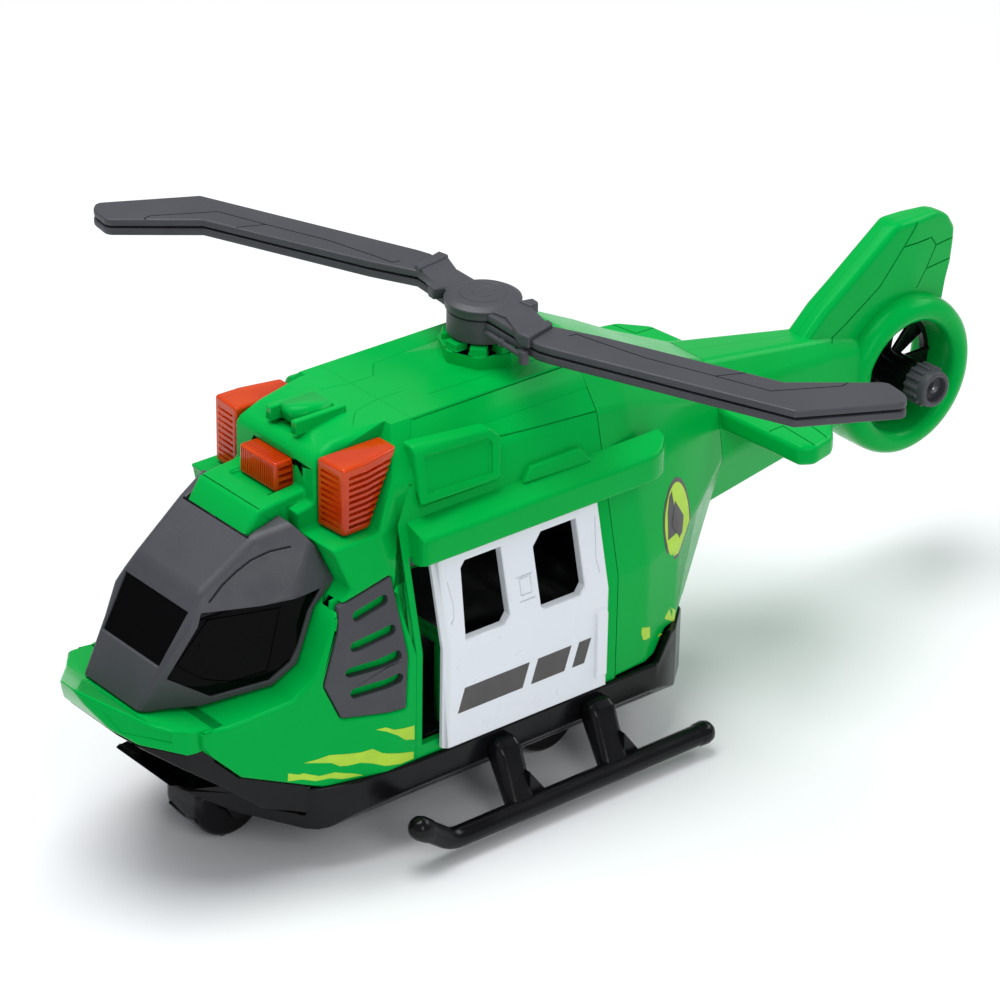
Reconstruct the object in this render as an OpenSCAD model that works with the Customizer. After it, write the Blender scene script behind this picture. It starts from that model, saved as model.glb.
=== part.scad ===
// Toy rescue helicopter with a sliding cabin door on each side, a two-tier rotor, a shrouded
// tail fan turned by a thumb knob, a friction motor on the rear wheels and a sound button.
// +Z is up, the nose points to -Y and the port side is +X. The origin is under the middle of
// the bounding box, on the ground that the wheels stand on.

/* [Body] */
// Half width of the body at the crease below the windows
body_half_w = 37.2; // [36:0.1:38]
// Height of the crease that runs along the body side
crease_z = 54; // [52:0.5:56]
// Height of the flat roof
roof_z = 108.5; // [107:0.5:110]
// Wall thickness of the moulded shells
wall = 2; // [1.6:0.1:2.4]

/* [Doors] */
// Length of a sliding door
door_len = 53; // [50:0.5:54]
// Thickness of the door plate
door_t = 2.5; // [2:0.1:2.6]
// Front edge of the door as it stands, slightly open
door_front_y = -64; // [-66:0.5:-63]

/* [Rotor] */
// Distance of the rotor axis from the origin, along Y
rotor_y = -20.7; // [-22:0.1:-19]
// Thickness of a rotor blade
blade_t = 2.1; // [1.8:0.1:2.4]
// Top of the upper rotor
rotor_top_z = 123.3; // [123:0.1:124]
// Step down from the upper rotor to the lower one
rotor_step = 2.6; // [2.5:0.1:3]
// Radius of the rotor mast
mast_r = 3; // [2.5:0.1:3.5]

/* [Tail] */
// Centre of the tail fan along Y
fan_y = 126.5; // [126:0.1:127]
// Height of the tail fan centre
fan_z = 60; // [59:0.1:61]
// Radius of the duct that the fan turns in
duct_r = 16.3; // [15.8:0.1:16.6]
// Outer radius of the fan shroud
shroud_r = 23.5; // [23:0.1:23.5]

/* [Undercarriage] */
// Radius of the front wheel
front_wheel_r = 11; // [10.5:0.1:11.5]
// Axle of the front wheel along Y
front_axle_y = -106; // [-108:0.5:-105]
// Radius of the rear wheels
rear_wheel_r = 10; // [10:0.1:10.5]
// Axle of the rear wheels along Y
rear_axle_y = -16.5; // [-17:0.1:-16]
// Radius of a wheel axle
axle_r = 1.5; // [1.2:0.1:1.6]
// Radius of a skid tube
skid_r = 2.85; // [2.5:0.05:3]

/* [Fits] */
// Radial play of an axle or a shaft in its bearing
running_fit = 0.06; // [0.04:0.01:0.1]
// Gap beside parts that slide or turn
free_gap = 0.4; // [0.3:0.05:0.6]

/* [Hidden] */

$fn = 96;
eps = 0.01;

green = "#10b052";
dark_green = "#0c9a47";
charcoal = "#4a4a51";
black = "#17171a";
white = "#ececf2";
orange = "#e8481a";
steel = "#b8bcc0";

// Seams between the body sections, along Y
front_seam_y = -71;
seam_bend_z = 87;
seam_top_y = -58.5;
rear_seam_y = -5;
tail_seam_y = 49;
tail_end_y = 97;

// Chassis tub
tub_bottom_z = 12;
tub_top_z = 24;
tub_rear_top_z = 30;
floor_t = 2.2;

// Half outline of the cabin section, from the roof edge down to the sill
roof_half_w = 18.5;
shoulder_half_w = 27;
shoulder_z = 97;
lean = (body_half_w - shoulder_half_w) / (shoulder_z - crease_z);
cabin_half = [[roof_half_w, roof_z], [shoulder_half_w, shoulder_z], [body_half_w, crease_z],
    [body_half_w, tub_top_z]];

// Cabin region in Y and Z: its front edge slants back above the windows
cabin_side_view = [[front_seam_y + 0.1, 0], [front_seam_y + 0.1, seam_bend_z],
    [seam_top_y + 0.1, roof_z], [seam_top_y + 3, 130], [rear_seam_y - 0.1, 130],
    [rear_seam_y - 0.1, 0]];

// Drive train
gear_module = 0.75;
axle_gear_teeth = 16;
pinion_teeth = 8;
gear_w = 4;
gear_distance = gear_module * (axle_gear_teeth + pinion_teeth) / 2;
shaft_rise = 8.5;
flywheel_z = rear_wheel_r + shaft_rise;
flywheel_y = rear_axle_y - sqrt(gear_distance * gear_distance - shaft_rise * shaft_rise);
gear_x = -8;
shaft_r = 1;

// Battery bay
bay_y0 = -88;
bay_y1 = -40;
cover_y1 = bay_y1 + 6;
cover_screw_y = bay_y1 + 3;
bay_half_w = 13.5;
cell_r = 5.25;
cell_len = 44.5;
cell_z = 20.2;

// Sound button
button_y = -76.5;
button_travel = 1.5;

// ---- helpers ----

function unit(v) = v / norm(v);
function turn_sign(p) = sign(sum([for (i = [0 : len(p) - 1])
    let (a = p[i], b = p[(i + 1) % len(p)]) a[0] * b[1] - b[0] * a[1]]));
function sum(v, i = 0) = i < len(v) ? v[i] + sum(v, i + 1) : 0;
function left_normal(a, b) = unit([a[1] - b[1], b[0] - a[0]]);
// Moves every edge of a closed outline inwards by t
function inset(p, t) = let (s = turn_sign(p), n = len(p)) [for (i = [0 : n - 1])
    let (m = left_normal(p[(i + n - 1) % n], p[i]), k = left_normal(p[i], p[(i + 1) % n]))
    p[i] + s * t * (m + k) / (1 + m * k)];
// Adds the mirror image of a half outline
function both_sides(half) = concat(half,
    [for (i = [len(half) - 1 : -1 : 0]) [-half[i][0], half[i][1]]]);

// Outline in Y and Z, extruded from x0 to x1
module prism_x(points, x0, x1) {
    translate([x0, 0, 0])
        rotate([90, 0, 90])
            linear_extrude(x1 - x0)
                polygon(points);
}

// Outline in X and Z, extruded from y0 to y1
module prism_y(points, y0, y1) {
    translate([0, y1, 0])
        rotate([90, 0, 0])
            linear_extrude(y1 - y0)
                polygon(points);
}

// Outline in X and Y, extruded from z0 to z1
module prism_z(points, z0, z1) {
    translate([0, 0, z0])
        linear_extrude(z1 - z0)
            polygon(points);
}

// Box given by its lowest and highest corner
module box(low, high) {
    translate(low)
        cube(high - low);
}

// Round bar along X between x0 and x1
module bar_x(x0, x1, y, z, r) {
    translate([x0, y, z])
        rotate([0, 90, 0])
            cylinder(r = r, h = x1 - x0);
}

// Solid through a row of outlines, each given as [y, outline in X and Z]
module loft(rows) {
    n = len(rows[0][1]);
    m = len(rows);
    points = [for (row = rows) for (p = row[1]) [p[0], row[0], p[1]]];
    last = (m - 1) * n;
    first_cap = [for (i = [1 : n - 2]) [0, i, i + 1]];
    last_cap = [for (i = [1 : n - 2]) [last, last + i + 1, last + i]];
    sides = [for (k = [0 : m - 2]) for (i = [0 : n - 1]) let (a = k * n + i,
        b = k * n + (i + 1) % n) each [[a, b + n, b], [a, a + n, b + n]]];
    polyhedron(points, concat(first_cap, last_cap, sides), convexity = 6);
}

module starboard_of_port() {
    mirror([1, 0, 0])
        children();
}

// ---- chassis and drive ----

// Outline of the nose and the front of the cabin, seen from above
nose_plan = both_sides([[2.5, -149.9], [25, -132.5], [28.5, -118], [33, -98], [37.2, -80],
    [body_half_w, seam_top_y + 0.5]]);

chassis_plan = both_sides([[12, -128], [19, -113], [33.5, -98.5], [37, -88], [38.5, -71],
    [38.5, 8], [35, 17.5], [27.5, 26], [12, 33]]);
chassis_side = [[-128, 25.5], [-113, 15.5], [-101, tub_bottom_z], [27, tub_bottom_z],
    [33.5, 17], [33.5, tub_rear_top_z], [15, tub_rear_top_z], [9, tub_top_z],
    [-124, tub_top_z], [-126, 25.5]];

// Chin under the nose, following the underside of the front shell and the bumper
chin_side = [[-142, 44.4], [-139.5, 43], [-132, 42], [-124.2, 42], [-124.2, 37.9], [-118.1, 31.8],
    [-98, 23.8], [-94, 23.8], [-94, 16], [-101, 16.5], [-112, 21], [-122, 29.5], [-131, 36.5],
    [-138, 41.2]];

floor_screws = [[29, -80], [-29, -80], [30, -32], [-30, -32], [27, 14], [-27, 14]];

module chassis() {
    color(black)
        difference() {
            union() {
                difference() {
                    intersection() {
                        prism_z(chassis_plan, 0, 40);
                        prism_x(chassis_side, -40, 40);
                        prism_y(both_sides([[40, 40], [40, 18.5], [34, 11.9]]), -150, 50);
                    }
                    intersection() {
                        prism_z(inset(chassis_plan, wall), tub_bottom_z + floor_t, 40);
                        prism_x([[-116, 30], [-116, 20], [-105, tub_bottom_z + floor_t],
                            [26, tub_bottom_z + floor_t], [31, 18], [31, 40], [-116, 40]],
                            -40, 40);
                    }
                }
                intersection() {
                    prism_x(chin_side, -40, 40);
                    prism_z(inset(nose_plan, 1.2), 0, 50);
                }
                fork_plate(9, 12);
                fork_plate(-12, -9);
                for (p = floor_screws)
                    translate([p[0], p[1], tub_bottom_z + 1])
                        cylinder(r = 3, h = 9.4);
            }
            for (p = floor_screws)
                translate([p[0], p[1], 0])
                    screw_hole();
            box([-9, front_axle_y - 12.5, 0], [9, front_axle_y + 12.5, 40]);
            bar_x(-13, 13, front_axle_y, front_wheel_r, axle_r + running_fit);
            for (side = [-1, 1])
                translate([side * 20.7, rear_axle_y, 10])
                    cube([9.4, 2 * rear_wheel_r + 2.5, 30], center = true);
            box([-bay_half_w, bay_y0, 0], [bay_half_w, cover_y1, 20]);
            box([-13.4, rear_axle_y - 10.5, 0], [13.4, rear_axle_y + 9.5, 20]);
            translate([0, 12, 0])
                for (row = [-2 : 2])
                    translate([-8, 4 * row - 0.8, 0])
                        cube([16, 1.6, 20]);
        }
}

// Bearing plates of the front wheel, one at each side
module fork_plate(x0, x1) {
    prism_x([[-115, 19], [-108.5, 8.2], [-103.5, 8.2], [-97, 19]], x0, x1);
}

housing_y0 = rear_axle_y - 10;
housing_y1 = rear_axle_y + 9;
housing_half_w = 13;

module motor_housing() {
    color(charcoal)
        difference() {
            union() {
                box([-housing_half_w, housing_y0, tub_bottom_z],
                    [housing_half_w, housing_y1, 26.3]);
                bar_x(-housing_half_w, housing_half_w, rear_axle_y, rear_wheel_r, 8.2);
            }
            box([-housing_half_w + 1.5, housing_y0 + 1.5, tub_bottom_z],
                [housing_half_w - 1.5, housing_y1 - 1.5, 25]);
            bar_x(-housing_half_w + 1.5, housing_half_w - 1.5, rear_axle_y, rear_wheel_r, 7.2);
            bar_x(-20, 20, rear_axle_y, rear_wheel_r, axle_r + running_fit);
            bar_x(-20, 20, flywheel_y, flywheel_z, shaft_r + running_fit);
        }
}

// Straight-sided toothed wheel along X with its bore
module gear(teeth, bore_r, x0, phase) {
    pitch_r = gear_module * teeth / 2;
    root_r = pitch_r - 1.1 * gear_module;
    tip_r = pitch_r + 0.75 * gear_module;
    root_half = 62 / teeth;
    tip_half = 28 / teeth;
    outline = [for (i = [0 : teeth - 1]) for (c = [[root_r, -root_half], [tip_r, -tip_half],
        [tip_r, tip_half], [root_r, root_half]])
        let (a = 360 * i / teeth + phase + c[1]) [c[0] * cos(a), c[0] * sin(a)]];
    rotate([90, 0, 90])
        translate([0, 0, x0])
            linear_extrude(gear_w)
                difference() {
                    polygon(outline);
                    circle(r = bore_r);
                }
}

module axle_gear() {
    mesh_angle = atan2(shaft_rise, flywheel_y - rear_axle_y);
    color(white)
        translate([0, rear_axle_y, rear_wheel_r])
            gear(axle_gear_teeth, axle_r, gear_x, mesh_angle);
}

module pinion() {
    mesh_angle = atan2(shaft_rise, flywheel_y - rear_axle_y);
    color("#c9a227")
        translate([0, flywheel_y, flywheel_z])
            gear(pinion_teeth, shaft_r, gear_x, mesh_angle + 180 + 180 / pinion_teeth);
}

module rear_axle() {
    color(steel)
        bar_x(-26, 26, rear_axle_y, rear_wheel_r, axle_r);
}

module flywheel_shaft() {
    color(steel)
        bar_x(-12.4, 12.4, flywheel_y, flywheel_z, shaft_r);
}

module flywheel() {
    color(steel)
        translate([-1, flywheel_y, flywheel_z])
            rotate([0, 90, 0])
                rotate_extrude()
                    polygon([[shaft_r, 0], [4.7, 0], [5.1, 0.4], [5.1, 10.6], [4.7, 11],
                        [3, 11], [3, 12], [shaft_r, 12]]);
}

module tyre_wheel(r, w, bore_r) {
    rotate([0, 90, 0])
        rotate_extrude()
            polygon([[bore_r, -w / 2 + 0.4], [3, -w / 2 + 0.4], [3.5, -w / 2 + 1.6],
                [r - 4.5, -w / 2 + 1.6], [r - 3.8, -w / 2], [r - 1.2, -w / 2],
                [r, -w / 2 + 1.2], [r, w / 2 - 1.2], [r - 1.2, w / 2], [r - 3.8, w / 2],
                [r - 4.5, w / 2 - 1.6], [3.5, w / 2 - 1.6], [3, w / 2 - 0.4],
                [bore_r, w / 2 - 0.4]]);
}

module rear_wheel(side) {
    color(black)
        translate([side * 20.7, rear_axle_y, rear_wheel_r])
            tyre_wheel(rear_wheel_r, 8, axle_r);
}

module front_wheel() {
    color(black)
        translate([0, front_axle_y, front_wheel_r])
            tyre_wheel(front_wheel_r, 15, axle_r);
}

module front_axle() {
    color(steel)
        bar_x(-11.8, 11.8, front_axle_y, front_wheel_r, axle_r);
}

// Skid tube with an upturned front, two struts and a gusset behind each strut
skid_x = 49;
skid_z = 5.5;
strut_front_y = [-49, -41];
strut_rear_y = [-18, -9.5];

module skid() {
    front_y = -66;
    bend_r = 9;
    bend_angle = 36;
    nose_len = 9;
    color(black) {
        translate([skid_x, 16, skid_z])
            rotate([90, 0, 0])
                cylinder(r = skid_r, h = 16 - front_y);
        translate([skid_x, front_y, skid_z + bend_r])
            rotate([180, 90, 0])
                rotate_extrude(angle = bend_angle)
                    translate([bend_r, 0])
                        circle(r = skid_r);
        translate([skid_x, front_y, skid_z + bend_r])
            rotate([-bend_angle, 0, 0])
                translate([0, 0, -bend_r])
                    rotate([90, 0, 0]) {
                        translate([0, 0, -0.5])
                            cylinder(r = skid_r + 0.1, h = nose_len + 0.5);
                        translate([0, 0, nose_len])
                            sphere(r = skid_r + 0.4);
                    }
        translate([skid_x, 16, skid_z])
            sphere(r = skid_r + 0.35);
        for (y = [strut_front_y, strut_rear_y]) {
            prism_y([[38.5, 22.6], [38.5, 17], [45.5, 4], [49, 3.4], [51, 6.5], [48, 8],
                [43.5, 21]], y[0], y[1]);
            intersection() {
                prism_x([[y[1] - eps, 3.6], [y[1] + 7.5, 3.6], [y[1] - eps, 13]], 30, 60);
                prism_y([[45.5, 4], [49, 3.4], [51, 6.5], [48, 8], [44.5, 17.5],
                    [41.5, 12]], y[1] - 1, y[1] + 10);
            }
        }
    }
}

// ---- batteries, sound and light ----

module battery_box() {
    color(charcoal)
        difference() {
            union() {
                box([-bay_half_w + 0.2, bay_y0 + 0.2, 14.4],
                    [bay_half_w - 0.2, bay_y1 - 0.2, 26.8]);
                box([-4, bay_y1 - 1, 14.4], [4, cover_y1 - 0.2, 21.4]);
            }
            box([-bay_half_w + 1.6, bay_y0 + 1.2, 12], [bay_half_w - 1.6, bay_y1 - 1.2, 25.6]);
            translate([0, cover_screw_y, 0])
                screw_hole();
        }
}

module battery_cover() {
    color(black)
        difference() {
            union() {
                box([-bay_half_w + 0.3, bay_y0 + 0.3, tub_bottom_z],
                    [bay_half_w - 0.3, cover_y1 - 0.3, 14.2]);
                box([-4, bay_y0 + 1.6, 14.2 - eps], [4, bay_y0 + 3, 14.9]);
            }
            translate([0, cover_screw_y, 0])
                screw_hole();
        }
}

module batteries() {
    color("#c58b3a")
        for (side = [-1, 1])
            translate([side * 5.7, (bay_y0 + bay_y1 - cell_len) / 2, cell_z])
                rotate([-90, 0, 0])
                    union() {
                        cylinder(r = cell_r, h = cell_len - 1);
                        cylinder(r = 1.9, h = cell_len);
                    }
}

module battery_contacts() {
    color(steel) {
        box([-10, bay_y0 + 1.25, 16], [10, bay_y0 + 1.55, 24]);
        for (side = [-1, 1])
            box([side * 5.7 - 4, bay_y1 - 1.55, 16], [side * 5.7 + 4, bay_y1 - 1.25, 24]);
    }
}

module circuit_board() {
    color("#1c6b3a") {
        box([-8, -72, 94], [8, -38, 95.6]);
        box([-5, -60, 95.6 - eps], [5, -50, 97.2]);
        box([-2.5, button_y - 2.5, 98.4], [2.5, button_y + 2.5, 99.9]);
        box([-7, button_y - 4, 97.6], [7, -66, 98.4]);
        box([-7, -70, 95.6 - eps], [7, -66, 97.6 + eps]);
    }
}

module speaker() {
    color(charcoal)
        translate([0, 12, tub_bottom_z + floor_t])
            union() {
                difference() {
                    cylinder(r = 13.5, h = 1.5);
                    cylinder(r = 11, h = 1);
                }
                translate([0, 0, 1.5 - eps])
                    cylinder(r1 = 13, r2 = 7.5, h = 3.5);
                translate([0, 0, 5 - 2 * eps])
                    cylinder(r = 7.5, h = 3);
            }
}

module sound_button() {
    color(dark_green) {
        box([-3.6, button_y - 5, 107], [3.6, button_y + 5, 111]);
        box([-5.2, button_y - 6.6, 104.2], [5.2, button_y + 6.6, 105.2]);
        box([-2, button_y - 2, 101.6], [2, button_y + 2, 107 + eps]);
    }
}

// Coil spring between the switch and the button flange, as a thin sleeve
module button_spring() {
    color(steel)
        translate([0, button_y, 99.9])
            difference() {
                cylinder(r = 3.9, h = 4.25);
                translate([0, 0, -1])
                    cylinder(r = 3.2, h = 8);
            }
}

lamp_inner_x = 16.5;
led_r = 1.5;
led_x = 20.5;
led_places = [[-led_x, -68.8, 94], [led_x, -68.8, 94], [0, -84.2, 97.4]];

module lamp_leds() {
    color("#f2efe2")
        for (p = led_places)
            translate(p)
                rotate([90, 0, 0])
                    rotate_extrude()
                        polygon([[0, 0], [led_r, 0], [led_r, 3.6], [1.1, 4.5], [0, 4.8]]);
}

// ---- body shells ----

module nose_bumper() {
    side_view = [[-149.9, 57], [-147.8, 52.6], [-144, 46.6], [-139.5, 43.2], [-132, 42.2],
        [-124, 42.2], [-122, 47], [-134.5, 48.7], [-137.5, 49.5]];
    color(green)
        intersection() {
            prism_x(side_view, -26, 26);
            prism_z(nose_plan, 20, 60);
            box([-25.6, -150, 20], [25.6, -120, 60]);
        }
}

front_top_y = -86.5;
deck_front_y = -104.5;
front_side = [[front_seam_y, tub_top_z], [-98, tub_top_z], [-118, 32], [-128.7, 43],
    [-128.7, 47.5], [-121.5, 47.3], [-104.5, 50.5], [-98.5, 56], [-96.3, 62], [-93.3, 70.5],
    [-87.2, 76], [-90.3, 85], [-94, 91.5], [front_top_y, 92.5], [front_top_y, 104.3],
    [-80, 107], [-71, roof_z], [seam_top_y, roof_z], [front_seam_y, seam_bend_z]];
front_section = both_sides(concat(cabin_half, [[body_half_w, 20]]));

module front_form(t) {
    intersection() {
        prism_x(inset(front_side, t), -40, 40);
        prism_z(inset(nose_plan, t), 10, 120);
        prism_y(inset(front_section, t), -150, -50);
    }
}

module lamp_niche() {
    intersection() {
        prism_z([[lamp_inner_x - 0.3, -92], [31, -92], [31, -60], [lamp_inner_x - 0.3, -60]],
            86.6, 112);
        prism_x([[-93, 86.6], [-93, 112], [-62.7, 112], [-76.7, 86.6]], 5, 35);
    }
}

module front_shell() {
    color(green) {
        difference() {
            union() {
                front_form(0);
                intersection() {
                    prism_x([[deck_front_y, 84.6], [deck_front_y, 87.8], [-100.5, 93.4], [-95, 94.2],
                        [front_top_y + 1, 95], [front_top_y + 1, 84.6]], -12.5, 12.5);
                    prism_z(both_sides([[11.9, -107], [12.5, -100], [12.5, -80]]), 80, 100);
                }
            }
            intersection() {
                front_form(wall);
                union() {
                    box([-40, -150, 0], [40, -60, 84.6]);
                    box([-8.5, -84.5, 80], [8.5, -60, 106.4]);
                    box([-40, -64, 80], [40, -50, 106.4]);
                }
            }
            box([-33, front_seam_y - 3, 26], [33, front_seam_y + 3, 72]);
            box([-30, -96, 20], [30, front_seam_y + 3, 30]);
            prism_x([[-150, 20], [-123.8, 20], [-121.8, 47.2], [-121.8, 60], [-150, 60]],
                -25.8, 25.8);
            translate([0, -84, 97.4])
                rotate([90, 0, 0])
                    cylinder(r = led_r + 0.1, h = 3);
            box([-8.5, front_seam_y - 3, 60], [8.5, seam_top_y + 3, 104]);
            for (side = [0, 1])
                mirror([side, 0, 0]) {
                    lamp_niche();
                    vent_slot(0.15);
                    translate([led_x, -60, 94])
                        rotate([90, 0, 0])
                            cylinder(r = led_r + 0.1, h = 14);
                }
            box([-7.6, -95, 93.2], [7.6, -85.5, 101.9]);
            box([-12, front_axle_y - 12.5, 0], [12, front_axle_y + 12.5, 30]);
            box([-9, -98, 78], [9, -80, 90]);
            translate([0, button_y, 0]) {
                box([-4, -5.4, 100], [4, 5.4, 120]);
                box([-5.6, -7, 96], [5.6, 7, 106.4]);
            }
        }
        // Raised surround on three sides of the sound button
        difference() {
            box([-6.2, button_y - 7.8, roof_z - 2], [6.2, button_y + 7.8, 110.2]);
            box([-4.1, button_y - 9, roof_z - 6], [4.1, button_y + 5.5, 112]);
        }
    }
}

// Opening of the vent insert in the port cheek
vent_outline = [[-96.5, 52.5], [-92, 42.2], [-74, 40], [-73.4, 56], [-75, 75.5], [-91.5, 72.6]];

module vent_slot(grow) {
    prism_x(inset(vent_outline, -grow), 26, 45);
}

module vent_grille() {
    slope = (body_half_w - 33) / 18;
    color(charcoal)
        difference() {
            intersection() {
                prism_x(vent_outline, 20, 45);
                prism_z(nose_plan, 30, 90);
                prism_y(front_section, -120, -60);
            }
            translate([-1.8, 0, 0])
                intersection() {
                    prism_x(inset(vent_outline, -1), 10, 45);
                    prism_z(nose_plan, 30, 90);
                    prism_y(front_section, -120, -60);
                }
            for (row = [0 : 3])
                box([20, -90.5 + (row == 0 ? 1.5 : 0), 46.4 + 7.4 * row],
                    [50, -77, 48.8 + 7.4 * row]);
        }
}

module lamp(grow) {
    intersection() {
        prism_z(inset([[lamp_inner_x, -86], [26.4, -85.3], [26.2, -78], [22.4, -60],
            [lamp_inner_x, -60]], grow), 87 + grow, 105.4 - grow);
        prism_x(inset([[-86.3, 86], [-86.3, 106], [-66.4, 106], [-77.4, 86]], grow), 5, 30);
    }
}

module lamp_port() {
    color(orange)
        difference() {
            lamp(0);
            lamp(1.4);
            box([lamp_inner_x + 1.4, -78, 89], [led_x + 2.2, -60, 100]);
        }
}

module lamp_centre() {
    color(orange)
        difference() {
            box([-7.3, -91.8, 93.6], [7.3, -85.6, 101.4]);
            box([-6, -90.4, 94.9], [6, -80, 100.1]);
        }
}

canopy_side = [[-137, 50], [-131, 60], [-122.2, 73.9], [-119.5, 77.6], [-104, 88.4], [-95, 90.9],
    [-90.9, 85], [-87.6, 76], [-93.8, 70.6], [-96.8, 62], [-99, 56.2], [-104.8, 51.1],
    [-121.5, 48.3], [-134.5, 49.2]];
canopy_hollow = [[-132, 52], [-128.5, 59], [-120, 72], [-117, 75.5], [-103, 85], [-96, 87.5],
    [-92.8, 84], [-90, 77], [-96, 71.5], [-99, 62.5], [-101, 57], [-106, 53]];
canopy_plan = both_sides([[11.6, -137.2], [13.6, -129], [25.4, -99], [26, -86]]);
canopy_section = both_sides([[12.5, 95.6], [20, 91.6], [22.6, 85], [26.5, 72], [27, 48]]);

// Space above one shoulder: its sloping face runs from the crown edge out to the side window
module shoulder_cut(t) {
    translate([-1.29 * t, 0, 0])
        loft([[-130, [[60, 110], [60, 60], [18.65, 60], [-12.12, 110]]],
            [-84, [[60, 110], [60, 60], [43.11, 60], [12.34, 110]]]]);
}

// Canopy body, set in by t from its outer surface
module canopy_form(t) {
    difference() {
        intersection() {
            prism_x(inset(canopy_side, t), -40, 40);
            prism_z(inset(canopy_plan, t), 10, 120);
            prism_y(inset(canopy_section, t), -150, -50);
        }
        shoulder_cut(t);
        mirror([1, 0, 0])
            shoulder_cut(t);
    }
}

module canopy() {
    color(charcoal)
        difference() {
            canopy_form(0);
            difference() {
                intersection() {
                    prism_x(canopy_hollow, -40, 40);
                    prism_z(inset(canopy_plan, wall), 10, 120);
                    prism_y(inset(canopy_section, wall), -150, -50);
                }
                shoulder_cut(wall);
                mirror([1, 0, 0])
                    shoulder_cut(wall);
            }
            box([-12.9, deck_front_y - 0.2, 70], [12.9, -80, 100]);
            box([-20, -102, 55], [20, -80, 84]);
            window_layer(-1, 1.6) {
                windscreen_outline(0.1);
                side_window_outline(0.1);
                mirror([1, 0, 0])
                    side_window_outline(0.1);
            }
        }
}

// Part of the canopy skin between two depths, inside the outlines given
module window_layer(outer, inner) {
    intersection() {
        difference() {
            canopy_form(outer);
            canopy_form(inner);
        }
        union()
            children();
    }
}

module windscreen_outline(grow) {
    intersection() {
        prism_y(both_sides([[13.2 + grow, 73.2 + grow], [11.4 + grow, 60.4 - grow]]), -140, -110);
        prism_x([[-136, 58], [-126, 76], [-118, 76], [-126, 58]], -20, 20);
    }
}

module side_window_outline(grow) {
    prism_x(inset([[-127, 56], [-116.5, 71.8], [-91.5, 73.5], [-96, 66], [-99, 58],
        [-104.5, 53.5]], -grow), 12, 30);
}

module windscreen() {
    color(black)
        window_layer(0.5, 1.5)
            windscreen_outline(0);
}

module side_window_port() {
    color(black)
        window_layer(0.5, 1.5)
            side_window_outline(0);
}

// Doorway outline in Y and Z
doorway = [[-69, 27.5], [-9, 27.5], [-9, 78], [-12, 81], [-66, 81], [-69, 78]];

// Port side wall of the cabin with its doorway, equipment tray and wedge bar
module cabin_side() {
    color(green) {
        difference() {
            intersection() {
                prism_y(both_sides(cabin_half), -90, 0);
                prism_x(cabin_side_view, 0, 60);
            }
            prism_y(inset(both_sides(cabin_half), wall), -91, 20);
            prism_y(both_sides([[30, tub_top_z + wall + 1], [30, 10]]), -91, 20);
            prism_x(doorway, -60, 60);
            box([-40, -91, roof_z - 6], [40, 20, roof_z + 5]);
        }
        side_tray();
        difference() {
            prism_x([[-32.3, 88], [-29.5, 90.5], [-12.9, 90], [-9.6, 88]], 26, 30.6);
            prism_y(inset(both_sides(cabin_half), 1), -91, 20);
        }
    }
}

// Raised equipment tray on the shoulder, with a sunk panel in its leaning outer face
module side_tray() {
    foot = [30.7, 90.6];
    head = [26.4, 103.4];
    sunk = 0.8;
    difference() {
        intersection() {
            prism_x([[-64.2, 90], [-39.2, 89.6], [-36.6, 100.2], [-39.4, 102.8], [-63.2, 105]],
                18, 34);
            prism_y([[18, 89.6], [29.6, 89.6], foot, head, [24.8, 104.6], [18, 104.6]], -80, -30);
            union() {
                prism_x(cabin_side_view, 0, 60);
                box([28.2, -66, 88], [34, -36, 97]);
            }
        }
        prism_y(inset(both_sides(cabin_half), 1), -91, 20);
        intersection() {
            prism_y(inset(both_sides(cabin_half), -0.1), -91, 20);
            box([0, -91, roof_z - 6.2], [60, 20, roof_z]);
        }
        intersection() {
            prism_x([[-62, 92.8], [-41.4, 92.2], [-39.6, 99.6], [-41.2, 101.2], [-60.8, 101.8]],
                18, 40);
            prism_y([foot + [-sunk, 0], foot + [9, 0], head + [9, 0], head + [-sunk, 0]],
                -80, -30);
        }
    }
}

// Cross bar that stands on the cabin floor on two legs
module grab_bar() {
    color(green) {
        box([-33, -59.5, 50.5], [33, -57, 53]);
        for (side = [-1, 1])
            translate([side * 31.5 - 1.5, -59.5, 28.4])
                cube([3, 2.5, 22.1 + eps]);
    }
}

module cabin_floor() {
    color(black) {
        box([-34.8, -70.8, 27], [34.8, -5.2, 28.4]);
        for (y = [-70.2, -6.8])
            prism_y(both_sides([[24.5, 88], [33, 54], [34.8, 28], [34.8, 27.2]]), y, y + 1.6);
        box([-24.5, -70.2, 86.6], [24.5, -5.2, 88.2]);
    }
}

// Roof plate with the collar that the rotor stands on
module roof_cowl() {
    skirt_z = roof_z - 6;
    skirt_half = roof_half_w + (shoulder_half_w - roof_half_w) * 6 / (roof_z - shoulder_z);
    outline = both_sides([[roof_half_w, roof_z], [skirt_half, skirt_z]]);
    color(green) {
        difference() {
            union() {
                intersection() {
                    prism_y(outline, -90, 0);
                    prism_x(cabin_side_view, -60, 60);
                }
                translate([0, rotor_y, roof_z - eps])
                    cylinder(r = 11.5, h = 3.5, $fn = 8);
                for (i = [0 : 7])
                    rotate_about_mast(45 * i)
                        box([6.4, -2.2, roof_z], [10.4, 2.2, 113.9]);
            }
            prism_y(inset(outline, wall), -91, 20);
            prism_y(both_sides([[roof_half_w, skirt_z + wall + 1], [roof_half_w, 90]]), -91, 20);
            translate([0, rotor_y, 90])
                cylinder(r = mast_r + running_fit, h = 40);
            translate([0, rotor_y, 111.5])
                cylinder(r = 6, h = 10);
        }
        difference() {
            translate([0, rotor_y, 101.6])
                cylinder(r = 6, h = roof_z - 101.6 - 1);
            translate([0, rotor_y, 90])
                cylinder(r = mast_r + running_fit, h = 40);
        }
    }
}

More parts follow.
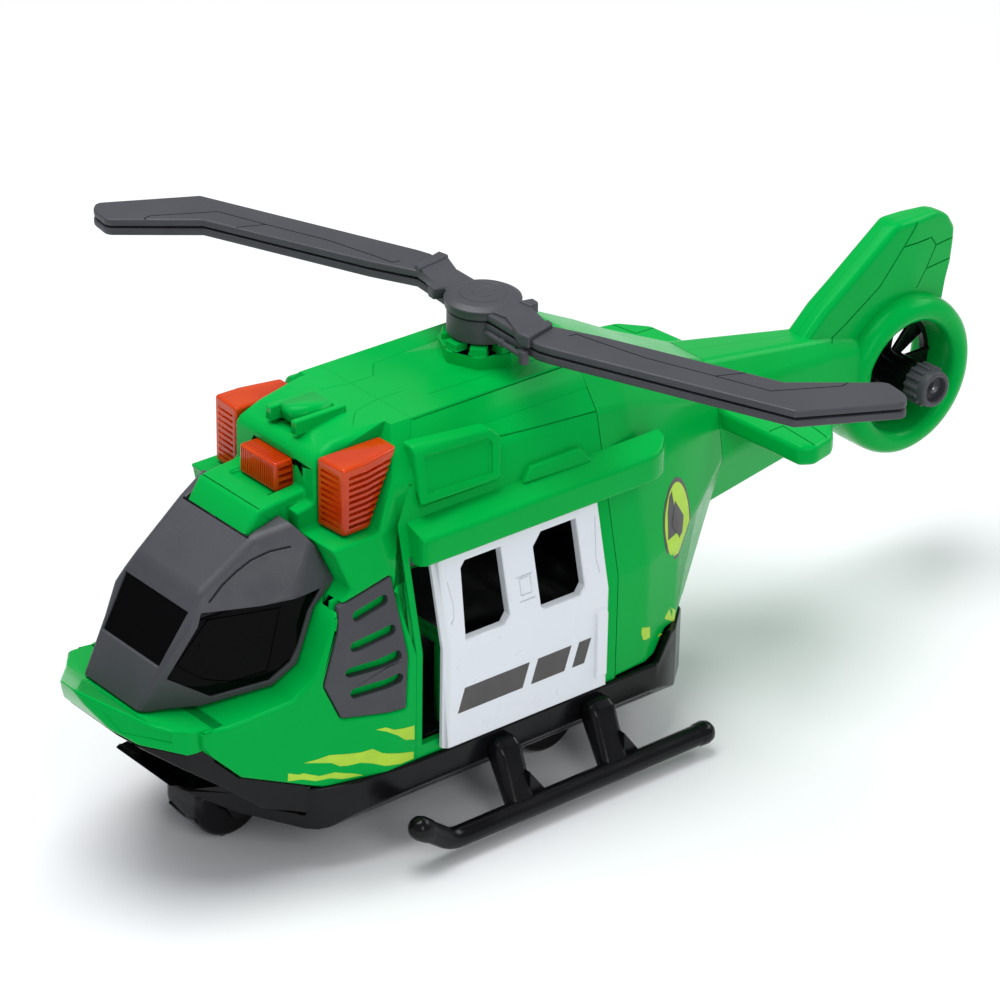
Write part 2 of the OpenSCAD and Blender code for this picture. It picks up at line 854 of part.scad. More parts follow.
module rotate_about_mast(angle) {
    translate([0, rotor_y, 0])
        rotate([0, 0, angle])
            children();
}

// Rows of the rear body: distance along Y and the half outline there
rear_rows = [
    [rear_seam_y, cabin_half],
    [6, [[16.5, 107], [25.5, 95], [36.4, 54], [36.4, 24]]],
    [20, [[13, 101], [22, 90], [32.4, 56], [31.4, 24.5]]],
    [31, [[11, 95.5], [19, 85.5], [27, 58], [22, 27.5]]],
    [tail_seam_y, [[7.5, 88], [13, 80], [16.5, 62], [9, 44.5]]]];

module rear_shell() {
    inner = [for (row = rear_rows) [row[0], inset(both_sides(row[1]), wall)]];
    color(green)
        difference() {
            loft([for (row = rear_rows) [row[0], both_sides(row[1])]]);
            loft(concat([[rear_seam_y - 5, inner[0][1]]], inner,
                [[tail_seam_y + 5, inner[len(inner) - 1][1]]]));
            box([-30, -10, 20], [30, 14, 27.5]);
            prism_x([[8.9, 0], [8.9, tub_top_z + 0.15], [14.85, tub_rear_top_z + 0.1],
                [34, tub_rear_top_z + 0.1], [34, 0]], -50, 50);
        }
}

tail_rows = [
    [tail_seam_y + 0.1, [[7.5, 88], [13, 80], [16.5, 62], [9, 44.5]]],
    [tail_end_y, [[4.5, 79.5], [8, 75], [9.5, 64], [6, 50]]],
    [108, [[4, 76], [7.5, 73], [9, 63], [6.5, 52]]]];
fin_side = [[86, 76], [89.7, 80.9], [96.5, 87.3], [103.5, 92.1], [122.5, 105.8], [138.5, 105.3],
    [144, 102.4], [147.1, 98], [147, 93.7], [146.3, 87.2], [142.4, 77.4], [144, 66], [104, 68]];

// One half of the boom, fin, fan shroud and stabiliser
module tail_half_form() {
    inner = [for (row = tail_rows) [row[0], inset(both_sides(row[1]), wall)]];
    intersection() {
        box([0.02, 0, 0], [60, 160, 120]);
        difference() {
            union() {
                difference() {
                    loft([for (row = tail_rows) [row[0], both_sides(row[1])]]);
                    loft(concat([[tail_seam_y - 5, inner[0][1]]], [inner[0], inner[1]]));
                }
                difference() {
                    prism_x(fin_side, -4.2, 4.2);
                    prism_x(inset(fin_side, wall), -2.2, 2.2);
                }
                translate([-9.7, fan_y, fan_z])
                    rotate([0, 90, 0])
                        rotate_extrude()
                            polygon([[duct_r, 0], [duct_r + 2, 0], [shroud_r, 3.2],
                                [shroud_r, 16.2], [duct_r + 2, 19.4], [duct_r, 19.4]]);
                prism_z([[9, 49.3], [43, 51], [45.5, 55], [43.5, 63], [36, 69.5], [9, 72]],
                    70, 76);
            }
            bar_x(-20, 20, fan_y, fan_z, duct_r);
        }
    }
}

// Three arms at the starboard side of the duct that carry the pin of the fan
module fan_spider() {
    difference() {
        union() {
            bar_x(-8, -5, fan_y, fan_z, 4);
            for (i = [0 : 2])
                translate([0, fan_y, fan_z])
                    rotate([120 * i, 0, 0])
                        box([-8, -1.2, 3], [-5.6, 1.2, duct_r + 0.6]);
        }
        bar_x(-20, 20, fan_y, fan_z, axle_r);
    }
}

module tail_half_port() {
    color(green)
        tail_half_form();
}

module tail_half_starboard() {
    color(green) {
        starboard_of_port()
            tail_half_form();
        fan_spider();
    }
}

knob_x = 11.1;

module tail_pin() {
    color(steel)
        bar_x(-8, knob_x + 6.4, fan_y, fan_z, axle_r);
}

module tail_fan() {
    blades = 7;
    color(black)
        translate([0, fan_y, fan_z])
            difference() {
                union() {
                    bar_x(-4.6, knob_x - 0.1, 0, 0, 5);
                    difference() {
                        bar_x(-3, -1, 0, 0, duct_r - free_gap);
                        bar_x(-4, 0, 0, 0, duct_r - free_gap - 1.5);
                    }
                    for (i = [0 : blades - 1])
                        rotate([360 * i / blades, 0, 0])
                            translate([-1, 0, 0])
                                rotate([0, 0, 24])
                                    box([-0.8, -4, 4], [0.8, 4, duct_r - 2.4]);
                }
                bar_x(-20, 20, 0, 0, axle_r + running_fit);
            }
}

// Thumb wheel on the fan hub, with a notched rim and a recessed face
module tail_knob() {
    notches = 18;
    color(black)
        translate([knob_x, fan_y, fan_z])
            difference() {
                bar_x(0, 7.4, 0, 0, 6);
                bar_x(6.4, 10, 0, 0, 4.2);
                bar_x(-1, 10, 0, 0, axle_r + running_fit);
                for (i = [0 : notches - 1])
                    rotate([360 * i / notches, 0, 0])
                        box([-1, -0.35, 5.4], [9, 0.35, 7]);
            }
}

// ---- doors ----

rail_y0 = -68.3;
rail_y1 = 14;
rail_x = 36.5;
rail_bottom_z = 77;
rail_edge_z = 84.6;
rail_foot_z = 87;
slot_top_z = 83.8;

// Hollow under the eave where the top of the door slides, closed at both ends
module door_slot() {
    door_face = body_half_w + free_gap + 0.35 + door_t;
    slot_x = function (z) door_face + free_gap - lean * (z - crease_z);
    prism_y([[20, 70], [slot_x(70), 70], [slot_x(slot_top_z), slot_top_z], [20, slot_top_z]],
        rail_y0 + 1, 10);
}

// Eave over the doorway
module door_rail() {
    foot_x = function (z) shoulder_half_w + 0.15 + lean * (shoulder_z - z);
    color(green)
        difference() {
            intersection() {
                prism_y([[rail_x, rail_bottom_z], [rail_x, rail_edge_z],
                    [foot_x(rail_foot_z), rail_foot_z], [foot_x(rail_bottom_z), rail_bottom_z]],
                    rail_y0, rail_y1);
                prism_z([[20, rail_y0], [rail_x, rail_y0], [rail_x, 6], [rail_x - 0.8, 9.5],
                    [rail_x - 2.6, 12.4], [rail_x - 5, rail_y1], [20, rail_y1]], 70, 100);
            }
            door_slot();
        }
}

// Door plate: follows the body side, standing just clear of it
module door() {
    inner_x = body_half_w + free_gap + 0.35;
    bottom_z = 25.6;
    top_z = 83.2;
    x_at = function (z) inner_x - (z > crease_z ? lean * (z - crease_z) : 0);
    door_end_y = door_front_y + door_len;
    color(white)
        difference() {
            union() {
                prism_y([[inner_x, bottom_z], [inner_x + door_t, bottom_z],
                    [inner_x + door_t, crease_z], [x_at(top_z) + door_t, top_z],
                    [x_at(top_z), top_z], [inner_x, crease_z]], door_front_y, door_end_y);
                prism_y([[inner_x + door_t - eps, 29.5], [inner_x + door_t + 1.2, 29.5],
                    [inner_x + door_t + 1.2, 48], [inner_x + door_t - eps, 49]],
                    door_end_y - 4.5, door_end_y - 0.8);
            }
            prism_x([[-57.5, 55], [-56, 73], [-54.5, 74.5], [-43, 74.5], [-43, 57], [-45, 55]],
                20, 60);
            prism_x([[-33, 56], [-33, 71.5], [-30, 74.5], [-18.5, 74.5], [-18.5, 57],
                [-20.5, 55], [-32, 55]], 20, 60);
        }
}

// ---- rotor ----

lower_top_z = rotor_top_z - rotor_step;
blade_outline = [[4, -5.2], [29, -6.4], [33, -5.2], [45.7, -0.3], [94.9, 19], [107.8, 43.7],
    [104.7, 46.7], [97, 47.8], [81.5, 27.8], [34.9, 9.2], [22.8, 3.2], [4, 5.2]];

module blade_pair(top_z) {
    for (angle = [0, 180])
        rotate_about_mast(angle)
            prism_z(blade_outline, top_z - blade_t, top_z);
}

module upper_rotor() {
    color(charcoal)
        difference() {
            union() {
                blade_pair(rotor_top_z);
                translate([0, rotor_y, lower_top_z + free_gap])
                    cylinder(r = 9.7, h = rotor_step - free_gap);
            }
            translate([0, rotor_y, 90])
                cylinder(r = mast_r, h = 40);
        }
}

module lower_rotor() {
    color(charcoal)
        difference() {
            union() {
                blade_pair(lower_top_z);
                translate([0, rotor_y, 114.3])
                    cylinder(r = 9.2, h = lower_top_z - 114.3);
            }
            translate([0, rotor_y, 90])
                cylinder(r = mast_r + running_fit, h = 40);
        }
}

module rotor_mast() {
    color(steel)
        translate([0, rotor_y, 0]) {
            translate([0, 0, 99.6])
                cylinder(r = 5, h = 1.6);
            translate([0, 0, 100])
                cylinder(r = mast_r, h = rotor_top_z - 100);
        }
}

module hub_cap() {
    color(black)
        translate([0, rotor_y, rotor_top_z])
            rotate_extrude()
                polygon([[0, 0], [9.4, 0], [9.1, 0.6], [7, 1.3], [4, 1.7], [0, 1.8]]);
}

// Crossed-slot screw: head down at the floor, shank pointing up
screw_head_z = tub_bottom_z + 0.2;
screw_head_r = 2.4;
screw_head_t = 1;
screw_shank_r = 1.1;

module screw() {
    color(steel)
        difference() {
            union() {
                cylinder(r = screw_head_r, h = screw_head_t);
                cylinder(r = screw_shank_r, h = 8);
            }
            translate([0, 0, -1])
                for (turn = [0, 90])
                    rotate([0, 0, turn])
                        cube([0.7, 2.8, 3], center = true);
        }
}

// Stepped hole that a screw sits in, cut up from below the floor
module screw_hole() {
    cylinder(r = screw_head_r + 0.1, h = screw_head_z + screw_head_t);
    cylinder(r = screw_shank_r + running_fit, h = 30);
}

module screws() {
    for (p = concat(floor_screws, [[0, cover_screw_y]]))
        translate([p[0], p[1], screw_head_z])
            screw();
}

chassis();
motor_housing();
battery_box();
battery_cover();
batteries();
battery_contacts();
front_wheel();
front_axle();
rear_axle();
rear_wheel(1);  // rear_wheel_port
rear_wheel(-1);  // rear_wheel_starboard
axle_gear();
flywheel();
flywheel_shaft();
pinion();
skid();  // skid_port
starboard_of_port() skid();  // skid_starboard
nose_bumper();
front_shell();
cabin_side();  // cabin_side_port
starboard_of_port() cabin_side();  // cabin_side_starboard
cabin_floor();
grab_bar();
roof_cowl();
rear_shell();
tail_half_port();
tail_half_starboard();
canopy();
windscreen();
side_window_port();
starboard_of_port() side_window_port();  // side_window_starboard
vent_grille();  // vent_grille_port
starboard_of_port() vent_grille();  // vent_grille_starboard
lamp_port();
starboard_of_port() lamp_port();  // lamp_starboard
lamp_centre();
lamp_leds();
door_rail();  // door_rail_port
starboard_of_port() door_rail();  // door_rail_starboard
door();  // door_port
starboard_of_port() door();  // door_starboard
rotor_mast();
lower_rotor();
upper_rotor();
hub_cap();
tail_fan();
tail_knob();
tail_pin();
sound_button();
button_spring();
circuit_board();
speaker();
screws();
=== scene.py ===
import math

import bmesh
import bpy
from mathutils import Matrix, Vector


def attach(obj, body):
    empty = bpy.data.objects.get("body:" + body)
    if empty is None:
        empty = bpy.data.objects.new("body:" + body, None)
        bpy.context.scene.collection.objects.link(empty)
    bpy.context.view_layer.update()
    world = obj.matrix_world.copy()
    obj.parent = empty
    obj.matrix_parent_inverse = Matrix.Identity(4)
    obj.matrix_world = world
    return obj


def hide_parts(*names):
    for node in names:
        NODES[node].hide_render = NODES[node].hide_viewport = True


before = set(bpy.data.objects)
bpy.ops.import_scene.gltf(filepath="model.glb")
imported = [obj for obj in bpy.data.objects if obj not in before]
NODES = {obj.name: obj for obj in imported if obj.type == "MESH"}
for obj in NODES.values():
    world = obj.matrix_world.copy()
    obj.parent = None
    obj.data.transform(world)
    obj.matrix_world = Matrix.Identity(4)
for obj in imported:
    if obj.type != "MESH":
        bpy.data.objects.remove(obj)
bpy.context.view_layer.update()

MM = 0.001
scene = bpy.context.scene

# ---------------------------------------------------------------- camera, floor and light


def aim_camera():
    azimuth, elevation, roll = map(math.radians, (50.10, 27.85, 1.039))
    target = Vector((0, -13.9, 63.44)) * MM
    distance = 1.1088
    back = Vector((math.sin(azimuth) * math.cos(elevation), -math.cos(azimuth) * math.cos(elevation),
                   math.sin(elevation)))
    right = Vector((math.cos(azimuth), math.sin(azimuth), 0))
    up = back.cross(right)
    across = right * math.cos(roll) + up * math.sin(roll)
    upright = up * math.cos(roll) - right * math.sin(roll)
    camera = bpy.data.objects.new("camera", bpy.data.cameras.new("camera"))
    scene.collection.objects.link(camera)
    turn = Matrix((across, upright, back)).transposed()
    camera.matrix_world = Matrix.Translation(target + back * distance) @ turn.to_4x4()
    camera.data.lens = 153.95
    camera.data.sensor_width = 36
    camera.data.clip_start = 0.05
    camera.data.clip_end = 20
    scene.camera = camera


def lamp(name, place, at, size, power):
    light = bpy.data.lights.new(name, "AREA")
    light.shape = "RECTANGLE"
    light.size, light.size_y = size
    light.energy = power
    holder = bpy.data.objects.new(name, light)
    scene.collection.objects.link(holder)
    holder.location = place
    holder.rotation_mode = "QUATERNION"
    holder.rotation_quaternion = (Vector(at) - Vector(place)).to_track_quat("-Z", "Y")


def light_studio():
    world = bpy.data.worlds.new("studio")
    scene.world = world
    world.use_nodes = True
    world.node_tree.nodes["Background"].inputs["Color"].default_value = (0.93, 0.96, 1.0, 1)
    world.node_tree.nodes["Background"].inputs["Strength"].default_value = 0.42
    lamp("overhead", (-0.25, -0.2, 1.25), (0, 0, 0.05), (0.9, 0.9), 15)
    lamp("side", (1.3, -0.35, 0.75), (0, 0, 0.06), (0.5, 0.8), 5.5)
    lamp("back", (0.3, 1.2, 0.9), (0, 0, 0.08), (0.9, 0.5), 5)
    scene.view_settings.view_transform = "Standard"
    scene.view_settings.exposure = 0.0


# ---------------------------------------------------------------- materials


class Shade:
    """A Principled material with helpers that add texture nodes."""

    def __init__(self, name, colour, roughness, **values):
        self.material = bpy.data.materials.new(name)
        self.material.use_nodes = True
        self.nodes = self.material.node_tree.nodes
        self.links = self.material.node_tree.links
        self.main = self.nodes["Principled BSDF"]
        self.main.inputs["Base Color"].default_value = (*colour, 1)
        self.main.inputs["Roughness"].default_value = roughness
        for key, value in values.items():
            self.main.inputs[key.replace("_", " ")].default_value = value
        self.colour, self.roughness = colour, roughness
        self.place = self.nodes.new("ShaderNodeTexCoord").outputs["Object"]

    def noise(self, scale, detail=2.0, stretch=None):
        node = self.nodes.new("ShaderNodeTexNoise")
        node.inputs["Scale"].default_value = scale
        node.inputs["Detail"].default_value = detail
        place = self.place
        if stretch:
            mapping = self.nodes.new("ShaderNodeMapping")
            mapping.inputs["Scale"].default_value = stretch
            self.links.new(self.place, mapping.inputs["Vector"])
            place = mapping.outputs["Vector"]
        self.links.new(place, node.inputs["Vector"])
        return node.outputs["Fac"]

    def ramp(self, value, low, high, at=(0.35, 0.65)):
        node = self.nodes.new("ShaderNodeMapRange")
        node.inputs["From Min"].default_value, node.inputs["From Max"].default_value = at
        node.inputs["To Min"].default_value = low
        node.inputs["To Max"].default_value = high
        self.links.new(value, node.inputs["Value"])
        return node.outputs["Result"]

    def vary_colour(self, scale, other, at=(0.35, 0.65)):
        mix = self.nodes.new("ShaderNodeMix")
        mix.data_type = "RGBA"
        mix.inputs["A"].default_value = (*self.colour, 1)
        mix.inputs["B"].default_value = (*other, 1)
        self.links.new(self.ramp(self.noise(scale), 0, 1, at), mix.inputs["Factor"])
        self.links.new(mix.outputs["Result"], self.main.inputs["Base Color"])
        return self

    def vary_gloss(self, scale, low, high, stretch=None):
        self.links.new(self.ramp(self.noise(scale, 3.0, stretch), low, high),
                       self.main.inputs["Roughness"])
        return self

    def grain(self, scale, strength, depth, detail=2.0):
        bump = self.nodes.new("ShaderNodeBump")
        bump.inputs["Strength"].default_value = strength
        bump.inputs["Distance"].default_value = depth
        self.links.new(self.noise(scale, detail), bump.inputs["Height"])
        self.links.new(bump.outputs["Normal"], self.main.inputs["Normal"])
        return self


def make_materials():
    kinds = {}
    kinds["green"] = Shade("green_shell", (0.0, 0.36, 0.048), 0.2, Specular_IOR_Level=0.12,
                           Specular_Tint=(0.2, 1.0, 0.5, 1)) \
        .vary_colour(18, (0.0, 0.385, 0.058)).vary_gloss(60, 0.17, 0.26).grain(260, 0.05, 0.0003)
    kinds["charcoal"] = Shade("charcoal_plastic", (0.043, 0.044, 0.052), 0.46, Specular_IOR_Level=0.4) \
        .vary_colour(40, (0.05, 0.051, 0.06)).vary_gloss(150, 0.42, 0.56).grain(2600, 0.25, 0.0002, 1.0)
    kinds["black"] = Shade("black_plastic", (0.002, 0.002, 0.0024), 0.16, Specular_IOR_Level=0.18) \
        .vary_colour(30, (0.005, 0.005, 0.006)).vary_gloss(90, 0.14, 0.28).grain(500, 0.08, 0.0002)
    kinds["pane"] = Shade("black_panes", (0.0005, 0.0005, 0.0006), 0.05, Specular_IOR_Level=0.05) \
        .vary_colour(20, (0.0012, 0.0012, 0.0015)).vary_gloss(40, 0.04, 0.08)
    kinds["amber"] = Shade("amber_lens", (0.95, 0.1, 0.002), 0.12, Transmission_Weight=0.5, IOR=1.45,
                           Specular_IOR_Level=0.3) \
        .vary_colour(60, (0.8, 0.055, 0.001)).vary_gloss(80, 0.08, 0.18)
    kinds["lamp_dark"] = Shade("lamp_dark", (0.02, 0.004, 0.003), 0.3) \
        .vary_colour(120, (0.035, 0.006, 0.004)).vary_gloss(100, 0.2, 0.4)
    kinds["led"] = Shade("led_lens", (1.0, 0.35, 0.03), 0.2) \
        .vary_colour(200, (1.0, 0.45, 0.06)).vary_gloss(200, 0.15, 0.3)
    kinds["white"] = Shade("white_door", (0.72, 0.75, 0.80), 0.32) \
        .vary_colour(22, (0.74, 0.77, 0.815)).vary_gloss(120, 0.27, 0.38).grain(900, 0.06, 0.0002)
    kinds["gear"] = Shade("gear_plastic", (0.70, 0.66, 0.52), 0.4) \
        .vary_colour(60, (0.66, 0.62, 0.48)).vary_gloss(120, 0.33, 0.47)
    kinds["brass"] = Shade("brass_pinion", (0.75, 0.52, 0.2), 0.3, Metallic=1.0) \
        .vary_colour(200, (0.65, 0.44, 0.17)).vary_gloss(300, 0.22, 0.4)
    kinds["steel"] = Shade("steel", (0.55, 0.56, 0.58), 0.3, Metallic=1.0) \
        .vary_colour(150, (0.48, 0.49, 0.51)).vary_gloss(300, 0.22, 0.42, stretch=(1, 1, 12))
    kinds["battery"] = Shade("battery_sleeve", (0.02, 0.02, 0.022), 0.35) \
        .vary_colour(60, (0.03, 0.03, 0.033)).vary_gloss(100, 0.28, 0.4)
    kinds["circuit"] = Shade("circuit_green", (0.01, 0.12, 0.04), 0.4) \
        .vary_colour(700, (0.02, 0.2, 0.06), (0.48, 0.52)).vary_gloss(400, 0.3, 0.5)
    kinds["lime"] = Shade("lime_print", (0.42, 0.68, 0.02), 0.35) \
        .vary_colour(200, (0.37, 0.62, 0.02)).vary_gloss(150, 0.3, 0.42)
    kinds["mark"] = Shade("dark_print", (0.055, 0.05, 0.05), 0.38) \
        .vary_colour(200, (0.065, 0.058, 0.058)).vary_gloss(150, 0.32, 0.44)
    return {key: shade.material for key, shade in kinds.items()}


NODE_LOOK = {name: look for look, names in {
    "black": "motor_housing battery_box battery_cover cabin_floor speaker",
    "battery": "batteries",
    "steel": "battery_contacts front_axle rear_axle flywheel flywheel_shaft rotor_mast tail_pin"
             " button_spring screws",
    "gear": "axle_gear",
    "brass": "pinion",
    "green": "grab_bar sound_button",
    "led": "lamp_leds",
    "circuit": "circuit_board",
}.items() for name in names.split()}

# ---------------------------------------------------------------- solids in millimetres


def inset(outline, amount):
    """The outline moved inwards by an amount, corner by corner."""
    count = len(outline)
    turn = sum(outline[i][0] * outline[(i + 1) % count][1] - outline[i][1] * outline[(i + 1) % count][0]
               for i in range(count))
    side = 1 if turn > 0 else -1

    def left_of(a, b):
        length = math.dist(a, b)
        return (a[1] - b[1]) / length, (b[0] - a[0]) / length

    moved = []
    for i, (x, y) in enumerate(outline):
        m = left_of(outline[i - 1], outline[i])
        k = left_of(outline[i], outline[(i + 1) % count])
        share = side * amount / (1 + m[0] * k[0] + m[1] * k[1])
        moved.append((x + (m[0] + k[0]) * share, y + (m[1] + k[1]) * share))
    return moved


def both_sides(half):
    return half + [(-x, y) for x, y in reversed(half)]


def arc(centre, radius, start, end, steps):
    """Points of an arc in a plane, in degrees."""
    return [(centre[0] + radius * math.cos(math.radians(start + (end - start) * i / steps)),
             centre[1] + radius * math.sin(math.radians(start + (end - start) * i / steps)))
            for i in range(steps + 1)]


class Solid:
    """A closed mesh in millimetres that can be cut, joined and given rounded edges."""

    def __init__(self, points, faces):
        data = bpy.data.meshes.new("work")
        data.from_pydata([tuple(p) for p in points], [], faces)
        self._take(data)

    def _take(self, data):
        mesh = bmesh.new()
        mesh.from_mesh(data)
        bmesh.ops.recalc_face_normals(mesh, faces=mesh.faces)
        mesh.to_mesh(data)
        mesh.free()
        self.obj = bpy.data.objects.new("work", data)
        scene.collection.objects.link(self.obj)

    @classmethod
    def of_node(cls, name):
        """A copy of a CAD node's mesh with its flat faces made whole."""
        data = bpy.data.meshes.new("work")
        mesh = bmesh.new()
        mesh.from_mesh(NODES[name].data)
        bmesh.ops.transform(mesh, matrix=Matrix.Scale(1 / MM, 4), verts=mesh.verts)
        bmesh.ops.remove_doubles(mesh, verts=mesh.verts, dist=0.008)
        bmesh.ops.dissolve_limit(mesh, angle_limit=math.radians(0.5), verts=mesh.verts, edges=mesh.edges)
        mesh.to_mesh(data)
        mesh.free()
        solid = cls.__new__(cls)
        solid._take(data)
        return solid

    def copy(self):
        solid = Solid.__new__(Solid)
        solid.obj = bpy.data.objects.new("work", self.obj.data.copy())
        scene.collection.objects.link(solid.obj)
        return solid

    def _combine(self, other, operation):
        modifier = self.obj.modifiers.new("combine", "BOOLEAN")
        modifier.operation = operation
        modifier.solver = "EXACT"
        modifier.object = other.obj
        graph = bpy.context.evaluated_depsgraph_get()
        data = bpy.data.meshes.new_from_object(self.obj.evaluated_get(graph))
        self.obj.modifiers.clear()
        old = self.obj.data
        self.obj.data = data
        bpy.data.meshes.remove(old)
        bpy.data.objects.remove(other.obj)
        return self

    def cut(self, *others):
        for other in others:
            self._combine(other, "DIFFERENCE")
        return self

    def add(self, *others):
        for other in others:
            self._combine(other, "UNION")
        return self

    def keep(self, *others):
        for other in others:
            self._combine(other, "INTERSECT")
        return self

    def round(self, width, segments=3, angle=20, where=None):
        """Rounds the edges that turn by more than an angle, where their middles pass a test."""
        data = self.obj.data
        mesh = bmesh.new()
        mesh.from_mesh(data)
        bmesh.ops.remove_doubles(mesh, verts=mesh.verts, dist=0.01)
        bmesh.ops.dissolve_limit(mesh, angle_limit=math.radians(0.5), verts=mesh.verts, edges=mesh.edges)
        edges = [e for e in mesh.edges if len(e.link_faces) == 2
                 and e.calc_face_angle(0) > math.radians(angle)
                 and (where is None or where((e.verts[0].co + e.verts[1].co) / 2))]
        bmesh.ops.bevel(mesh, geom=edges, offset=width, offset_type="OFFSET", segments=segments,
                        profile=0.5, affect="EDGES", clamp_overlap=False, miter_outer="ARC",
                        loop_slide=True)
        mesh.to_mesh(data)
        mesh.free()
        return self

    def move(self, matrix):
        self.obj.data.transform(matrix)
        if matrix.determinant() < 0:
            self.obj.data.flip_normals()
        return self

    def starboard(self):
        return self.move(Matrix.Scale(-1, 4, (1, 0, 0)))

    def loose(self, *others):
        """Adds other solids' meshes without joining them."""
        mesh = bmesh.new()
        mesh.from_mesh(self.obj.data)
        for other in others:
            mesh.from_mesh(other.obj.data)
            bpy.data.objects.remove(other.obj)
        mesh.to_mesh(self.obj.data)
        mesh.free()
        return self


def between(lower, upper):
    """Two rings of equal length, joined and closed."""
    count = len(lower)
    faces = [tuple(range(count)), tuple(range(count, 2 * count))]
    faces += [(i, (i + 1) % count, count + (i + 1) % count, count + i) for i in range(count)]
    return Solid(lower + upper, faces)


def prism(axis, outline, low, high):
    """An outline extruded along an axis, between two places on it."""
    put = {"x": lambda v, p: (v, p[0], p[1]), "y": lambda v, p: (p[0], v, p[1]),
           "z": lambda v, p: (p[0], p[1], v)}[axis]
    return between([put(low, p) for p in outline], [put(high, p) for p in outline])


def box(low, high):
    (x0, y0, z0), (x1, y1, z1) = low, high
    return prism("z", [(x0, y0), (x1, y0), (x1, y1), (x0, y1)], z0, z1)


def rod(start, end, radius, steps=24):
    """A round bar between two points."""
    start, end = Vector(start), Vector(end)
    turn = (end - start).to_track_quat("Z", "Y")

    angles = [math.tau * i / steps for i in range(steps)]
    ring = [turn @ Vector((radius * math.cos(a), radius * math.sin(a), 0)) for a in angles]
    return between([start + p for p in ring], [end + p for p in ring])


def lathe(profile, place, axis="z", steps=64):
    """A profile of (radius, height) turned about an axis through a place."""
    put = {"z": lambda r, a, h: (r * math.cos(a), r * math.sin(a), h),
           "x": lambda r, a, h: (h, r * math.cos(a), r * math.sin(a))}[axis]
    points, rings = [], []
    for r, h in profile:
        if r < 1e-6:
            rings.append([len(points)] * steps)
            points.append(Vector(put(0, 0, h)) + Vector(place))
            continue
        rings.append(list(range(len(points), len(points) + steps)))
        points += [Vector(put(r, math.tau * i / steps, h)) + Vector(place) for i in range(steps)]
    closed = profile[0][0] > 1e-6
    faces = []
    for k in range(len(rings) if closed else len(rings) - 1):
        a, b = rings[k], rings[(k + 1) % len(rings)]
        for i in range(steps):
            j = (i + 1) % steps
            corners = list(dict.fromkeys((a[i], a[j], b[j], b[i])))
            if len(corners) > 2:
                faces.append(corners)
    return Solid(points, faces)


def slab(outline, normal, low, high):
    """A flat outline in space, thickened along a normal."""
    normal = Vector(normal).normalized()
    return between([Vector(p) + normal * low for p in outline], [Vector(p) + normal * high for p in outline])


def ribbon(path, normal, width, low, high, closed=False):
    """A strip of even width along a path on a surface, thickened along the normal."""
    normal = Vector(normal).normalized()
    path = [Vector(p) for p in path]
    count = len(path)
    if not closed:
        path[0] = path[0] + (path[0] - path[1]).normalized() * width / 2
        path[-1] = path[-1] + (path[-1] - path[-2]).normalized() * width / 2
    points = []
    for i, p in enumerate(path):
        ahead = path[(i + 1) % count] - p if closed or i + 1 < count else p - path[i - 1]
        behind = p - path[i - 1] if closed or i else ahead
        side_a = behind.cross(normal).normalized()
        side_b = ahead.cross(normal).normalized()
        side = (side_a + side_b).normalized()
        reach = width / 2 / max(0.35, side.dot(side_a))
        for sign, depth in ((1, low), (-1, low), (-1, high), (1, high)):
            points.append(p + side * sign * reach + normal * depth)
    faces = []
    for i in range(count if closed else count - 1):
        a, b = 4 * i, 4 * ((i + 1) % count)
        faces += [(a + k, b + k, b + (k + 1) % 4, a + (k + 1) % 4) for k in range(4)]
    if not closed:
        faces += [(0, 1, 2, 3), tuple(range(4 * count - 4, 4 * count))]
    return Solid(points, faces)


def groove(path, normal, width=0.45, depth=0.5, closed=False):
    return ribbon(path, normal, width, -depth, 1.5, closed)


def loft(rows):
    """Rings of equal length along Y, skinned and closed."""
    count = len(rows[0][1])
    points = [(x, y, z) for y, ring in rows for x, z in ring]
    faces = [tuple(range(count)), tuple(range(count * (len(rows) - 1), count * len(rows)))]
    for k in range(len(rows) - 1):
        for i in range(count):
            a, b = k * count + i, k * count + (i + 1) % count
            faces.append((a, b, b + count, a + count))
    return Solid(points, faces)


def piece(solid, name, body, look, replaces=(), sharp=48):
    """Ends a solid's making: metres, material, smooth shading and the body it rides on."""
    obj = solid.obj
    obj.name = name
    obj.data.name = name
    mesh = bmesh.new()
    mesh.from_mesh(obj.data)
    bmesh.ops.remove_doubles(mesh, verts=mesh.verts, dist=0.004)
    bmesh.ops.dissolve_degenerate(mesh, edges=mesh.edges, dist=0.002)
    mesh.to_mesh(obj.data)
    mesh.free()
    obj.data.transform(Matrix.Scale(MM, 4))
    obj.data.materials.clear()
    obj.data.materials.append(MATERIALS[look])
    obj.data.polygons.foreach_set("use_smooth", [True] * len(obj.data.polygons))
    obj.data.set_sharp_from_angle(angle=math.radians(sharp))
    shading = obj.modifiers.new("shading", "WEIGHTED_NORMAL")
    shading.keep_sharp = True
    shading.weight = 70
    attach(obj, body)
    if replaces:
        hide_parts(*replaces)


# ---------------------------------------------------------------- shapes shared with the CAD model

